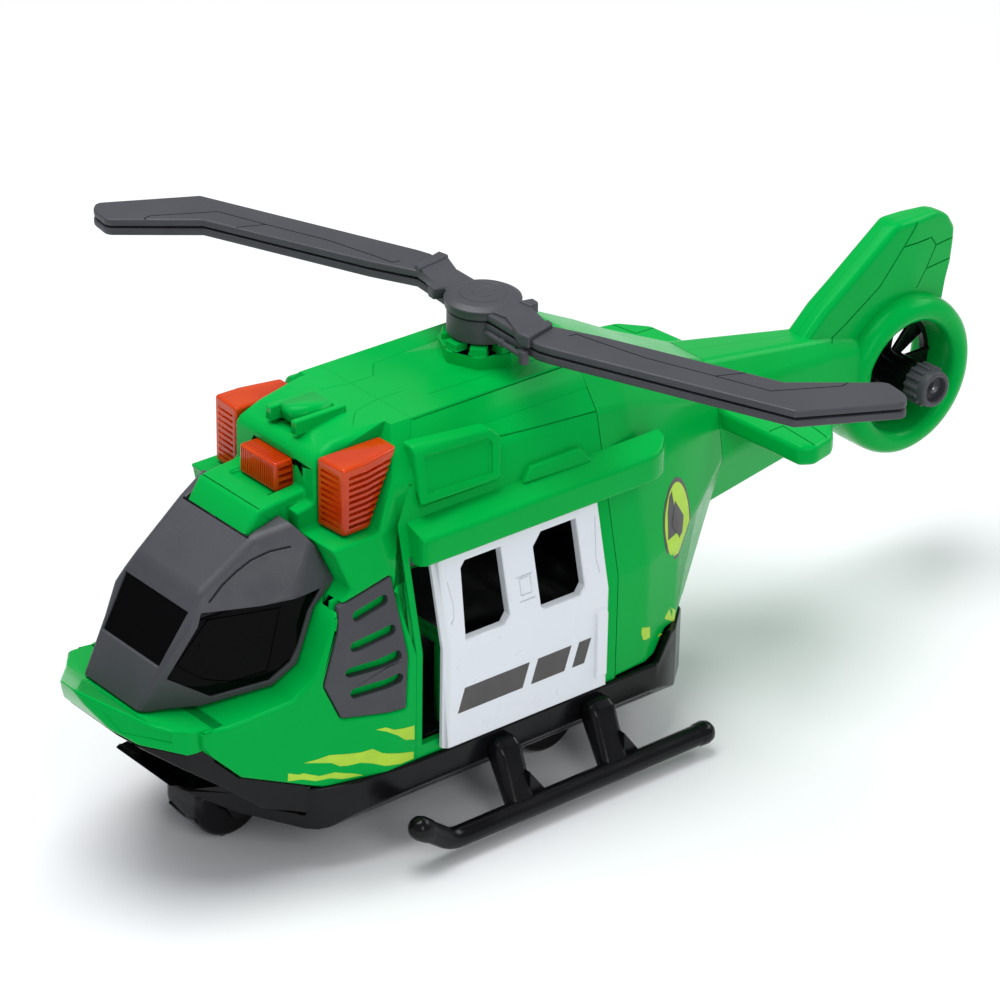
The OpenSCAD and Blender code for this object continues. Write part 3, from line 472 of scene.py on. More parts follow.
PORT, STARBOARD = 1, -1
BODY_HALF, CREASE_Z = 37.2, 54
SHOULDER_HALF, SHOULDER_Z = 27, 97
ROOF_HALF, ROOF_Z = 18.5, 108.5
SILL_Z = 24
LEAN = (BODY_HALF - SHOULDER_HALF) / (SHOULDER_Z - CREASE_Z)
NOSE_PLAN = both_sides([(2.5, -149.9), (25, -132.5), (28.5, -118), (33, -98), (37.2, -80), (37.2, -70)])
CABIN_HALF = [(ROOF_HALF, ROOF_Z), (SHOULDER_HALF, SHOULDER_Z), (BODY_HALF, CREASE_Z), (BODY_HALF, SILL_Z)]
LEAN_NORMAL = (43, 0, 10.2)
SLOPE_NORMAL = (11.5, 0, 8.5)
CANOPY_SIDE = [(-137, 50), (-131, 60), (-122.2, 73.9), (-119.5, 77.6), (-104, 88.4), (-95, 90.9),
               (-90.9, 85), (-87.6, 76), (-93.8, 70.6), (-96.8, 62), (-99, 56.2), (-104.8, 51.1),
               (-121.5, 48.3), (-134.5, 49.2)]
CANOPY_HOLLOW = [(-132, 52), (-128.5, 59), (-120, 72), (-117, 75.5), (-103, 85), (-96, 87.5), (-92.8, 84),
                 (-90, 77), (-96, 71.5), (-99, 62.5), (-101, 57), (-106, 53)]
CANOPY_PLAN = both_sides([(11.6, -137.2), (13.6, -129), (25.4, -99), (26, -86)])
CANOPY_SECTION = both_sides([(12.5, 95.6), (20, 91.6), (22.6, 85), (26.5, 72), (27, 48)])
SIDE_PANE = [(-120.3, 73.2), (-106, 73.8), (-91.6, 75.0), (-95.4, 69.9), (-98.2, 61.8), (-100.4, 56.9),
             (-105.4, 52.6), (-119.2, 50.4), (-129.4, 57.2)]
# The canopy's shoulder is a plane through the front end of the crown edge
CROWN_END = (13.4, -119.5, 77.6)
SHOULDER_FACE = (185.4, 98.6, 114.1)
SHOULDER_LINE = [
    (CROWN_END[0] + (SHOULDER_FACE[1] * (y - CROWN_END[1]) - SHOULDER_FACE[2] * (z - CROWN_END[2]))
     / SHOULDER_FACE[0], y, z)
    for y, z in ((-117.8, 75.6), (-114.0, 78.9), (-110.0, 81.6), (-106.0, 83.8), (-101.5, 85.3),
                 (-97.0, 85.9))]
LAMP_PLAN = [(16.5, -86), (26.4, -85.3), (26.2, -78), (22.4, -60), (16.5, -60)]
LAMP_SIDE = [(-86.3, 86), (-86.3, 106), (-66.4, 106), (-77.4, 86)]
CABIN_HALF_RING = both_sides(CABIN_HALF)
VENT_SLOTS = [((-86.6, 68.9), (-78.2, 70.3), 1.35), ((-88.4, 61.6), (-77.2, 62.4), 1.35),
              ((-89.7, 54.7), (-76.6, 55.6), 1.35), ((-88.4, 48.5), (-76.4, 49.4), 1.35)]
STRIPES = [
    [(-83, 36.8), (-80.4, 36.8), (-77.8, 35.2), (-74.7, 34.5), (-71.5, 34.1), (-71.4, 30.1), (-74.3, 31),
     (-76.6, 33.1), (-80.1, 35.5)],
    [(-102.1, 32.2), (-98.3, 32.3), (-95.4, 32.7), (-90.6, 31.8), (-87.1, 31.3), (-83.9, 31.5), (-81.3, 29.6),
     (-76.2, 27.8), (-71.7, 26.6), (-71.7, 24.6), (-75.8, 24.6), (-80.7, 25.8), (-83.9, 27.3), (-87.1, 28.4),
     (-90.3, 28.4), (-92.6, 28.8), (-94.8, 30.3), (-98.6, 31.3)],
    [(-106.2, 30.3), (-103.4, 29.2), (-100.5, 29.5), (-95.5, 28), (-91.9, 26.6), (-89, 25.7), (-86.4, 24.6),
     (-89, 24.7), (-91.9, 24.9), (-95.1, 26), (-99, 26.2), (-102.5, 27.6), (-106.3, 28.1)]]
VENT = [(-96.5, 52.5), (-92, 42.2), (-74, 40), (-73.4, 56), (-75, 75.5), (-91.5, 72.6)]
ROTOR_Y = -20.7
ROTOR_TOP_Z, LOWER_TOP_Z, BLADE_T = 123.3, 120.7, 2.1
FAN = (0, 126.5, 60)


def side_x(z):
    """How far out the cabin's outer face is at a height."""
    if z <= CREASE_Z:
        return BODY_HALF
    if z <= SHOULDER_Z:
        return BODY_HALF - LEAN * (z - CREASE_Z)
    return SHOULDER_HALF - (z - SHOULDER_Z) * SLOPE_NORMAL[2] / SLOPE_NORMAL[0]


def both(make, name, body, look, nodes):
    """Makes a piece for the port side and its mirror image for the starboard side."""
    solid = make()
    other = solid.copy().starboard()
    bodies = body if isinstance(body, tuple) else (body, body)
    piece(solid, name + "_port", bodies[0], look, nodes[:1])
    piece(other, name + "_starboard", bodies[1], look, nodes[1:])


# ---------------------------------------------------------------- canopy and panes


def canopy_form(amount):
    """The canopy's outer form, moved inwards by an amount."""
    return trim_canopy(prism("x", inset(CANOPY_SIDE, amount), -40, 40), amount)


def trim_canopy(form, amount):
    """Keeps what lies inside the canopy's plan, section and sloping shoulders."""
    form.keep(prism("z", inset(CANOPY_PLAN, amount), 10, 120))
    form.keep(prism("y", inset(CANOPY_SECTION, amount), -150, -50))
    shoulder = loft([(-130, [(60, 110), (60, 60), (18.65, 60), (-12.12, 110)]),
                     (-84, [(60, 110), (60, 60), (43.11, 60), (12.34, 110)])])
    shoulder.move(Matrix.Translation((-1.29 * amount, 0, 0)))
    return form.cut(shoulder.copy().starboard(), shoulder)


def front_pane_block(shrink):
    half = [(13.1 - shrink, 73.3 - shrink), (11.8 - shrink, 60.2 + shrink)]
    block = prism("y", both_sides(half), -140, -110)
    return block.keep(prism("x", [(-137, 58), (-127, 76), (-118, 76), (-127, 58)], -20, 20))


def side_pane_block(shrink):
    return prism("x", inset(SIDE_PANE, shrink), 11, 34)


def build_canopy():
    shell = canopy_form(0)
    shell.round(1.6, 5, 9, lambda m: 74.5 < m.z and m.y < -95 and m.z < 92)
    shell.round(1.1, 4, 14, lambda m: 53 < m.z < 75 and m.y < -115)
    shell.cut(trim_canopy(prism("x", CANOPY_HOLLOW, -40, 40), 2))
    shell.cut(box((-12.9, -104.7, 70), (12.9, -80, 100)))
    shell.cut(front_pane_block(0).cut(canopy_form(0.9)))
    for side in (PORT, STARBOARD):
        pane = side_pane_block(0).cut(canopy_form(0.9))
        line = groove(SHOULDER_LINE, (0.776, -0.412, 0.477), 0.45, 0.7)
        for cutter in (pane, line):
            shell.cut(cutter if side == PORT else cutter.starboard())
    shell.round(0.22, 2, 50, lambda m: m.y < -90)
    piece(shell, "canopy_shell", "airframe", "charcoal", ("canopy",))

    pane = canopy_form(0.45).keep(front_pane_block(0.1)).cut(canopy_form(0.88)).round(0.15, 2, 40)
    piece(pane, "front_pane", "airframe", "pane", ("windscreen",))

    def side_pane():
        made = canopy_form(0.45).keep(side_pane_block(0.1)).cut(canopy_form(0.88)).round(0.15, 2, 40)
        normal = (30, -11.8, 0)

        def flat(points):
            return [(13.6 + (y + 129) * 11.8 / 30 - 0.42, y, z) for y, z in points]

        frame_line = ribbon(flat([(-119.4, 71.6), (-102.5, 72.2), (-105.6, 55.2), (-113.8, 53.4),
                                  (-120.6, 55.2), (-127.0, 60.2)]), normal, 0.35, -0.3, 0.22, closed=True)
        strut = ribbon(flat([(-121.3, 64.9), (-117.9, 55.2)]), normal, 0.6, -0.3, 0.2)
        return made.loose(frame_line, strut)

    both(side_pane, "side_pane", "airframe", "pane", ("side_window_port", "side_window_starboard"))


# ---------------------------------------------------------------- front shell, bumper and vents


def body_form(amount, low=-150, high=-60):
    """The nose and cabin's outer form, moved inwards by an amount."""
    form = prism("z", inset(NOSE_PLAN, amount), 20, 110)
    return form.keep(prism("y", inset(CABIN_HALF_RING, amount), low, high))


def side_layer(outline, low, high):
    """A thin layer on the port side of the nose, between two depths, with an outline in Y and Z."""
    layer = prism("x", outline, 20, 45).keep(body_form(low))
    return layer.cut(body_form(high))


def capsule(start, end, radius):
    """A slot outline with round ends."""
    angle = math.degrees(math.atan2(end[1] - start[1], end[0] - start[0]))
    return arc(end, radius, angle - 90, angle + 90, 6) + arc(start, radius, angle + 90, angle + 270, 6)


def build_front():
    shell = Solid.of_node("front_shell")
    shell.round(2.6, 5, 25, lambda m: m.y < -73 and m.z > 103.6 and abs(m.x) < 25 and m.z < 108.6
                and not (abs(m.x) < 6.5 and m.y > -84.6))
    shell.round(0.9, 3, 24, lambda m: (abs(m.x) > 12.3 and m.y < -71.6 and m.z > 24.2 and m.z < 103)
                or (m.y < -85 and m.z > 88 and abs(m.x) < 13))
    shell.round(0.5, 2, 40, lambda m: m.z > 108.6)
    cheek = [(25.9, -127, 48.2), (30.7, -107, 48.6), (31.4, -104, 46.8), (31.2, -105, 34),
             (30.6, -107.6, 32.9), (26, -126.6, 43)]
    backing = side_layer(inset(VENT, -0.6), 2.3, 3.4)
    for side in (PORT, STARBOARD):
        ends = sorted((side * 12.6, side * 40))
        shell.cut(box((ends[0], -97, 86.6), (ends[1], -91.9, 100)))
        recess = slab(cheek, (0.976, -0.219, 0), -0.55, 3).round(1.0, 2, 30, lambda m: m.x > 29)
        shell.cut(recess if side == PORT else recess.starboard())
    roof = [(16.6, -75.5, 108.5), (7.6, -67.2, 108.5), (5.6, -59.0, 108.5)]
    shell.cut(groove(roof, (0, 0, 1), 0.35, 0.35),
              groove([(-x, y, z) for x, y, z in roof], (0, 0, 1), 0.35, 0.35))
    shell.loose(backing.copy().starboard(), backing)
    piece(shell, "nose_shell", "airframe", "green", ("front_shell",))

    bumper = Solid.of_node("nose_bumper").round(0.7, 4, 12, lambda m: m.y < -132 and abs(m.x) < 25)
    for side in (PORT, STARBOARD):
        wedge = slab([(8.9, -145.6, 51.6), (12.4, -142.7, 49.4), (22.4, -134.9, 48.0), (22.6, -134.8, 45.2),
                      (12.6, -142.6, 46.2)], (0.79, -0.61, 0), -0.6, 4)
        bumper.cut(wedge if side == PORT else wedge.starboard())
    piece(bumper, "bumper", "airframe", "green", ("nose_bumper",))

    def vent():
        grille = side_layer(VENT, 0.05, 1.9).round(0.4, 2, 30)
        for start, end, radius in VENT_SLOTS:
            grille.cut(prism("x", capsule(start, end, radius), 20, 45))
        return grille.round(0.25, 2, 60, lambda m: -89.6 < m.y < -75.6 and 46 < m.z < 73)

    both(vent, "vent", "airframe", "charcoal", ("vent_grille_port", "vent_grille_starboard"))

    def stripes():
        bands = [side_layer(outline, -0.06, 0.3) for outline in STRIPES]
        return bands[0].loose(*bands[1:])

    both(stripes, "side_stripes", "airframe", "lime", ())


# ---------------------------------------------------------------- lamps


def lamp_form(amount):
    """A side lamp's outer form, moved inwards by an amount."""
    form = prism("z", inset(LAMP_PLAN, amount), 87 + amount, 105.4 - amount)
    return form.keep(prism("x", inset(LAMP_SIDE, amount), 5, 30))


def build_lamps():
    def lens():
        shell = lamp_form(0).round(0.9, 3, 20)
        shell.cut(lamp_form(1.1))
        for row in range(9):
            z = 88.9 + 1.66 * row
            shell.cut(box((21, -83.6, z), (30, -75.2 + 0.92 * row, z + 0.85)))
            shell.cut(box((18.0, -90, z), (24.6, -85.2, z + 0.8)))
        return shell

    both(lens, "side_lamp", "airframe", "amber", ("lamp_port", "lamp_starboard"))

    def core():
        return lamp_form(1.2).round(0.3, 2, 30)

    both(core, "side_lamp_core", "airframe", "lamp_dark", ())

    centre = box((-7.3, -91.8, 93.6), (7.3, -85.6, 101.4)).round(0.7, 3, 30)
    for i in range(-8, 9):
        centre.cut(box((0.78 * i - 0.17, -92.4, 94.4), (0.78 * i + 0.17, -91.5, 100.8)))
        centre.cut(box((0.78 * i - 0.17, -91.2, 101.15), (0.78 * i + 0.17, -86, 102)))
    centre.cut(box((-6.1, -90.6, 94.8), (6.1, -85, 100.2)))
    for row in range(3):
        z = 95.2 + 1.9 * row
        for side in (PORT, STARBOARD):
            ends = sorted((side * 5.8, side * 8))
            centre.cut(box((ends[0], -90.6, z), (ends[1], -86.4, z + 0.95)))
    piece(centre, "centre_lamp", "airframe", "amber", ("lamp_centre",))
    piece(box((-6.0, -90.5, 94.9), (6.0, -85.7, 100.1)).round(0.3, 2), "centre_lamp_core", "airframe",
          "lamp_dark")


# ---------------------------------------------------------------- cabin, roof and rear body


def build_cabin():
    def side():
        wall = prism("y", CABIN_HALF_RING, -90, 0).cut(prism("y", inset(CABIN_HALF_RING, 2), -91, 1))
        wall.keep(prism("x", [(-70.9, 24.05), (-70.9, 87), (-61.99, 102.45), (-5.1, 102.45), (-5.1, 24.05)],
                        0, 60))
        wall.cut(box((0, -72, 20), (30, 0, 27)))
        wall.round(0.3, 2, 40, lambda m: abs(m.x - side_x(m.z)) < 0.3 and (m.y < -61 or m.y > -5.2))
        wall.cut(prism("x", [(-69, 27.5), (-9, 27.5), (-9, 78), (-12, 81), (-66, 81), (-69, 78)], 20, 60))
        tray = prism("x", [(-64.4, 90.3), (-39.2, 89.6), (-36.6, 100.2), (-39.4, 102.8), (-63.3, 104.6)],
                     20, 34)
        tray.keep(prism("y", [(20, 89.6), (29.4, 89.6), (30.7, 90.6), (26.4, 103.4), (24.8, 104.6),
                              (20, 104.6)], -80, -30))
        tray.round(0.9, 4, 25, lambda m: m.x > 22)
        tray.cut(prism("y", inset(CABIN_HALF_RING, 1), -91, 1))
        face = (12.8, 0, 4.3)
        hollow = slab([(30.7 - (z - 90.6) * 4.3 / 12.8, y, z) for y, z in
                       ((-61.9, 92.9), (-41.5, 92.3), (-39.7, 99.6), (-41.4, 101.2), (-60.9, 101.9))],
                      face, -0.7, 4)
        tray.cut(hollow.round(0.45, 3, 30, lambda m: m.x < 33))
        bar = slab([(29.4, -32.4, 86.4), (28.5, -29.3, 90.1), (28.5, -13.1, 90.3), (29.7, -9.4, 85.6)],
                   LEAN_NORMAL, -1.0, 1.9).round(0.7, 3, 25)
        seam = [(side_x(z), y, z) for y, z in ((-39.5, 99.3), (-25, 98.3), (-5.0, 97.2))]
        wall.cut(groove(seam, SLOPE_NORMAL, 0.4, 0.45))
        lean_line = [(SHOULDER_HALF + LEAN * (SHOULDER_Z - z) + 0.02, y, z)
                     for y, z in ((-67.4, 96.2), (-65.2, 95.6))]
        wall.cut(groove(lean_line, LEAN_NORMAL, 0.4, 0.4))
        return wall.loose(tray, bar)

    both(side, "cabin_wall", "airframe", "green", ("cabin_side_port", "cabin_side_starboard"))

    def rail():
        def slot_x(z):
            return 40.75 - LEAN * (z - CREASE_Z)

        outer, front, rear = 36.5, -68.3, 14
        beam = prism("y", [(outer, 77), (outer, 84.6), (29.1, 87.2), (31.4, 77)], front, rear)
        plan = [(20, front), (35.6, front), (outer, -67.2), (outer, 5)]
        plan += [(outer - 6.4 * (1 - math.cos(math.radians(a))), 5 + 9 * math.sin(math.radians(a)))
                 for a in (20, 40, 60, 80, 90)] + [(20, rear)]
        beam.keep(prism("z", plan, 70, 100))
        beam.round(1.1, 4, 18, lambda m: m.x > 33.5)
        slot = [(20, 70), (slot_x(70), 70), (slot_x(83.8), 83.8), (20, 83.8)]
        return beam.cut(prism("y", slot, -67.3, 10))

    both(rail, "door_rail_shell", "airframe", "green", ("door_rail_port", "door_rail_starboard"))

    roof = Solid.of_node("roof_cowl")
    roof.round(0.35, 2, 25, lambda m: m.z > 109)
    for side in (PORT, STARBOARD):
        edge = [(side * 18.9, -58.0, 108), (side * 18.9, -5, 108)]
        roof.cut(groove([(side * 5.6, -58.5, 108.5), (side * 5.6, -51.3, 108.5), (side * 11, -47.0, 108.5),
                         (side * 12.6, -5, 108.5)], (0, 0, 1), 0.35, 0.35),
                 groove(edge, (side * SLOPE_NORMAL[0], 0, SLOPE_NORMAL[2]), 0.35, 0.4))
    piece(roof, "roof_plate", "airframe", "green", ("roof_cowl",))


# ---------------------------------------------------------------- doors


def door_x(z):
    """How far out the door's outer face is at a height."""
    inner, thickness = 37.95, 2.5
    return inner - (LEAN * (z - CREASE_Z) if z > CREASE_Z else 0) + thickness


def build_doors():
    def on_door(*points):
        return [(door_x(z), y, z) for y, z in points]

    def door():
        plate = Solid.of_node("door_port")
        plate.round(1.5, 1, 40, lambda m: m.y < -63.9 and m.x > door_x(m.z) - 0.2)
        plate.round(0.5, 3, 24, lambda m: m.x > door_x(m.z) - 0.3)
        for path in (on_door((-60.9, 70.8), (-60.1, 65.1), (-60.4, 61.5), (-61.4, 60.4)),
                     on_door((-12.6, 73.2), (-14, 62.9), (-13.4, 59)),
                     on_door((-39.5, 65.5), (-34.8, 65.5)), on_door((-39.5, 59.2), (-34.8, 59.2))):
            plate.cut(groove(path, LEAN_NORMAL, 0.4, 0.3))
        plate.cut(groove(on_door((-38.9, 65.0), (-35.4, 65.0), (-35.4, 60.7), (-38.9, 60.7)), LEAN_NORMAL,
                         0.4, 0.3, True))
        return plate

    both(door, "sliding_door", ("port_door", "starboard_door"), "white", ("door_port", "door_starboard"))

    def marks():
        bars = [prism("x", [(start, 34.9), (start + length, 34.9), (start + length + 2.2, 41.6),
                            (start + 2.2, 41.6)], 40.3, 40.51)
                for start, length in ((-60.2, 21), (-36.4, 11), (-22.8, 4))]
        return bars[0].loose(*bars[1:])

    both(marks, "door_bars", ("port_door", "starboard_door"), "mark", ())


# ---------------------------------------------------------------- rotor

BLADE = [(4, -5.2), (29, -6.4), (33, -5.2), (45.7, -0.3), (94.9, 19), (107.8, 43.7), (104.7, 46.7),
         (97, 47.8), (81.5, 27.8), (34.9, 9.2), (22.8, 3.2), (4, 5.2)]


def half_turn(solid):
    """A copy turned half a turn about the mast."""
    return solid.copy().move(Matrix.Translation((0, 2 * ROTOR_Y, 0)) @ Matrix.Rotation(math.pi, 4, "Z"))


def on_rotor(outline, low, high):
    """A slab with an outline given from the mast's axis."""
    return prism("z", [(x, y + ROTOR_Y) for x, y in outline], low, high)


def blade(top):
    """One blade of either rotor, below a height."""
    made = on_rotor(BLADE, top - BLADE_T, top)
    made.round(1.6, 4, 12, lambda m: m.x > 96 and abs(m.z - top + BLADE_T / 2) < 0.2)
    return made.round(0.6, 3, 40, lambda m: m.x > 8)


def build_rotor():
    centre = (0, ROTOR_Y, 0)
    top = ROTOR_TOP_Z
    arm = blade(top)
    arm.cut(groove([(x, y + ROTOR_Y, top) for x, y in ((30.2, 3.0), (30.6, 5.0), (37.4, 6.4), (51.5, 9.8),
                                                       (69, 16.5), (83.4, 21.7), (91.9, 37.2), (91.6, 39.4),
                                                       (89.6, 39.8))],
                   (0, 0, 1), 0.4, 0.35))
    arm.cut(groove([(69.1, -4.2, top), (72.3, 2.9, top)], (0, 0, 1), 0.4, 0.35))
    grip = on_rotor([(7, -4.4), (13, -3.4), (23, -7.4), (26.2, -7.0), (23.4, 2.2), (20.4, 3.2), (12, 5.6),
                     (7, 5.2)], 121.3, 124.0).round(0.4, 2, 30)
    ridge = on_rotor([(23.4, -7.9), (26.9, -7.3), (24.1, 2.9), (21.4, 3.3)], 121.2, 124.6).round(0.6, 3, 30)
    lug = on_rotor([(8.6, 4.4), (9.6, 8.3), (12.4, 8.0), (12.8, 5)], 121.3, 124.5).round(0.5, 2, 30)
    hub = lathe([(0, 121.1), (9.4, 121.1), (9.7, 121.4), (9.7, 123.0), (9.5, 123.3), (0, 123.3)], centre)
    upper = hub.add(arm, half_turn(arm))
    upper.add(grip, half_turn(grip)).add(ridge, half_turn(ridge)).add(lug, half_turn(lug))
    upper.cut(lathe([(0, 90), (3.2, 90), (3.2, 130), (0, 130)], centre))
    piece(upper, "rotor_top", "rotor", "charcoal", ("upper_rotor",))

    cap = lathe([(0, 122.6), (9.8, 122.6), (10.0, 123.4), (9.9, 123.7), (8.4, 124.5), (8.2, 124.55),
                 (6.3, 124.8), (6.2, 124.72), (5.9, 124.72), (5.8, 124.86), (3.2, 125.0), (3.1, 124.92),
                 (2.8, 124.92), (2.7, 125.02), (0, 125.08)], centre, steps=96)
    piece(cap, "rotor_cap", "rotor", "charcoal", ("hub_cap",), sharp=30)

    arm = blade(LOWER_TOP_Z)
    hub = lathe([(0, 114.3), (8.9, 114.3), (9.2, 114.6), (9.2, 120.4), (8.9, 120.7), (0, 120.7)], centre)
    lower = hub.add(arm, half_turn(arm))
    rods = rod((8.4, ROTOR_Y - 5.6, 118.4), (25.6, ROTOR_Y - 7.3, 118.4), 0.75, 16)
    rods.loose(rod((25.2, ROTOR_Y - 7.4, 116.8), (25.2, ROTOR_Y - 7.4, 120.4), 1.35, 20).round(0.3, 2, 40),
               rod((15.0, ROTOR_Y - 6.2, 117.5), (15.0, ROTOR_Y - 6.2, 119.3), 1.1, 20).round(0.25, 2, 40))
    other = half_turn(rods)
    lower.cut(lathe([(0, 90), (3.35, 90), (3.35, 130), (0, 130)], centre))
    lower.loose(rods, other)
    piece(lower, "rotor_bottom", "lower_blades", "charcoal", ("lower_rotor",))


# ---------------------------------------------------------------- tail

TAIL_ROWS = [(49.15, [(7.5, 88), (13, 80), (16.5, 62), (9, 44.5)]),
             (97, [(4.5, 79.5), (8, 75), (9.5, 64), (6, 50)]),
             (112, [(4, 75), (7.3, 72), (8.8, 62), (6.5, 53)])]
FIN_SIDE = [(86, 74), (89.7, 80.9), (96.5, 87.3), (103.5, 92.1), (122.5, 105.8), (138.5, 105.3), (144, 102.4),
            (147.1, 98), (147, 93.7), (146.3, 87.2), (142.4, 77.4), (144, 64), (104, 64)]
SHROUD = [(16.4, -7.2), (16.9, -8.6), (18.2, -9.5), (19.6, -9.7), (21.3, -9.2), (22.6, -7.9), (23.3, -6.1),
          (23.48, -4), (23.48, 4), (23.3, 6.1), (22.6, 7.9), (21.3, 9.2), (19.6, 9.7), (18.2, 9.5),
          (16.9, 8.6), (16.4, 7.2)]


def build_tail():
    def half():
        boom = loft([(y, both_sides(row)) for y, row in TAIL_ROWS])
        boom.round(1.6, 4, 9, lambda m: 49.6 < m.y < 111)
        fin = prism("x", FIN_SIDE, -4.2, 4.2)
        fin.keep(prism("z", both_sides([(4.2, 84), (4.2, 130), (1.7, 151)]), 40, 120))
        fin.round(2.0, 5, 25, lambda m: m.y > 87.5 and m.z > 78)
        half_plane = [(9, 49.3), (43, 51), (45.5, 55), (43.5, 63), (36, 69.5), (9, 72)]
        plane = prism("z", both_sides(half_plane), 70, 76)
        plane.round(1.7, 4, 25, lambda m: abs(m.x) > 10)
        ring = lathe(SHROUD, FAN, "x", 96)
        boom.add(fin, plane, ring)
        boom.cut(lathe([(0, -12), (16.4, -12), (16.4, 12), (0, 12)], FAN, "x", 96))
        lines = []
        for path in (((129.5, 104.3), (124.9, 98.6), (116.5, 89.0), (103.5, 80.8), (96.7, 77.1)),
                     ((125.2, 98.5), (136, 98.1), (138.4, 95.1), (147.5, 95.1)),
                     ((138.4, 95.1), (134.6, 89.1), (131, 84.7)), ((134.6, 89.1), (148.5, 89))):
            points = [(4.2 - max(0, y - 130) * 2.5 / 21, y, z) for y, z in path]
            lines.append(groove(points, (1, 0, 0), 0.45, 0.5))
        for path in (((31.5, 50), (31.5, 56.0), (46, 55.0)), ((34.0, 69.6), (34.4, 62.2), (45.5, 60.3))):
            lines.append(groove([(x, y, 76) for x, y in path], (0, 0, 1), 0.4, 0.45))
        boom.cut(*lines)
        return boom.keep(box((0.03, 40, 30), (60, 160, 120)))

    both(half, "tail_shell", "airframe", "green", ("tail_half_port", "tail_half_starboard"))

    def around_fan(solid, turn):
        return solid.move(Matrix.Translation(FAN) @ Matrix.Rotation(turn, 4, "X"))

    bearing = lathe([(1.55, -8), (4, -8), (4, -5), (1.55, -5)], FAN, "x", 48)
    bearing.loose(*[around_fan(box((-8, -1.2, 3.4), (-5.6, 1.2, 16.7)).round(0.4, 2, 30), math.tau * i / 3)
                    for i in range(3)])
    piece(bearing, "fan_bearing", "airframe", "black")

    fan = lathe([(1.6, -4.6), (4.6, -4.6), (5, -4.2), (5, 10.7), (4.7, 11), (1.6, 11)], FAN, "x", 64)
    blades = []
    vanes = 7
    for i in range(vanes):
        vane = prism("x", [(-2.4, 4.2), (2.4, 4.2), (5.4, 14.7), (-5.4, 14.7)], -0.6, 0.6).round(0.3, 2, 40)
        vane.move(Matrix.Translation((-1.9, 0, 0)) @ Matrix.Rotation(math.radians(18), 4, "Z"))
        blades.append(around_fan(vane, math.tau * i / vanes))
    fan.loose(lathe([(14.4, -3), (15.9, -3), (15.9, -1), (14.4, -1)], FAN, "x", 96), *blades)
    piece(fan, "duct_fan", "tail_fan_unit", "black", ("tail_fan",))

    x, y, z = FAN
    teeth = []
    tooth_count = 15
    for i in range(tooth_count):
        a = math.tau * i / tooth_count
        for r, b in ((5.2, -0.12), (6.0, -0.07), (6.0, 0.07), (5.2, 0.12)):
            teeth.append((y + r * math.cos(a + b), z + r * math.sin(a + b)))
    knob = prism("x", teeth, 11.2, 16.1).round(0.3, 2, 25)
    face = lathe([(0, 11.3), (5.25, 11.3), (5.25, 17.7), (5.0, 18.3), (4.6, 18.5), (3.9, 18.5), (3.6, 18.2),
                  (3.5, 16.5), (3.3, 16.3), (0, 16.3)], FAN, "x", 64)
    piece(knob.add(face), "fan_knob", "tail_fan_unit", "charcoal", ("tail_knob",))


# ---------------------------------------------------------------- chassis, skids and wheels


SKID_X, SKID_Z, SKID_R = 49, 5.5, 2.85


def tube(path, radii, steps=28):
    """A bar that follows a path in a plane of constant X."""
    points = []
    for i, p in enumerate(path):
        ahead = Vector(path[min(i + 1, len(path) - 1)]) - Vector(path[max(i - 1, 0)])
        up = Vector((1, 0, 0)).cross(ahead.normalized())
        points += [Vector(p) + (Vector((1, 0, 0)) * math.cos(math.tau * k / steps)
                                + up * math.sin(math.tau * k / steps)) * radii[i] for k in range(steps)]
    count = len(path)
    faces = [tuple(range(steps)), tuple(range(steps * (count - 1), steps * count))]
    for i in range(count - 1):
        for k in range(steps):
            a, b = i * steps + k, i * steps + (k + 1) % steps
            faces.append((a, b, b + steps, a + steps))
    return Solid(points, faces)


def build_chassis():
    tub = Solid.of_node("chassis")
    tub.round(0.55, 2, 30, lambda m: abs(m.x) > 12 and m.z > 9 and abs(m.x) < 38.6 and (m.y < 30))
    piece(tub, "chassis_tub", "airframe", "black", ("chassis",))

    def skid():
        knob = 3.25
        path, radii = [], []
        for a in (90, 60, 30, 0):
            path.append((SKID_X, 16 + knob * 0.94 * math.sin(math.radians(a)), SKID_Z))
            radii.append(max(0.4, knob * math.cos(math.radians(a))))
        path += [(SKID_X, 13.6, SKID_Z), (SKID_X, 13.2, SKID_Z)]
        radii += [3.1, SKID_R]
        bend_r = 9
        for a in range(0, 37, 6):
            path.append((SKID_X, -66 - bend_r * math.sin(math.radians(a)),
                         SKID_Z + bend_r - bend_r * math.cos(math.radians(a))))
            radii.append(SKID_R)
        y, z = path[-1][1:]
        along = (-math.cos(math.radians(36)), math.sin(math.radians(36)))
        for far, r in ((5.2, SKID_R), (6.4, 3.15), (9, 3.25), (10.6, 2.9), (11.6, 2.0), (12.1, 0.6)):
            path.append((SKID_X, y + along[0] * far, z + along[1] * far))
            radii.append(r)
        bar = tube(path, radii)
        for front, rear in ((-49, -41), (-18, -9.5)):
            strut = prism("y", [(37.9, 22.4), (37.9, 16.5), (44.6, 5.5), (49, 3.6), (51, 6.5), (48.3, 9.5),
                                (43.6, 21.2), (41.6, 22.6)], front, rear)
            strut.round(2.3, 5, 30, lambda m: m.x > 38.2 and m.z > 6)
            web = prism("x", [(rear - 1.5, 4.2), (rear + 8, 4.2), (rear + 4.6, 7.0), (rear - 1.5, 15)],
                        45.6, 48.2)
            bar.loose(strut, web.round(0.5, 2, 30))
        return bar

    both(skid, "landing_skid", "airframe", "black", ("skid_port", "skid_starboard"))


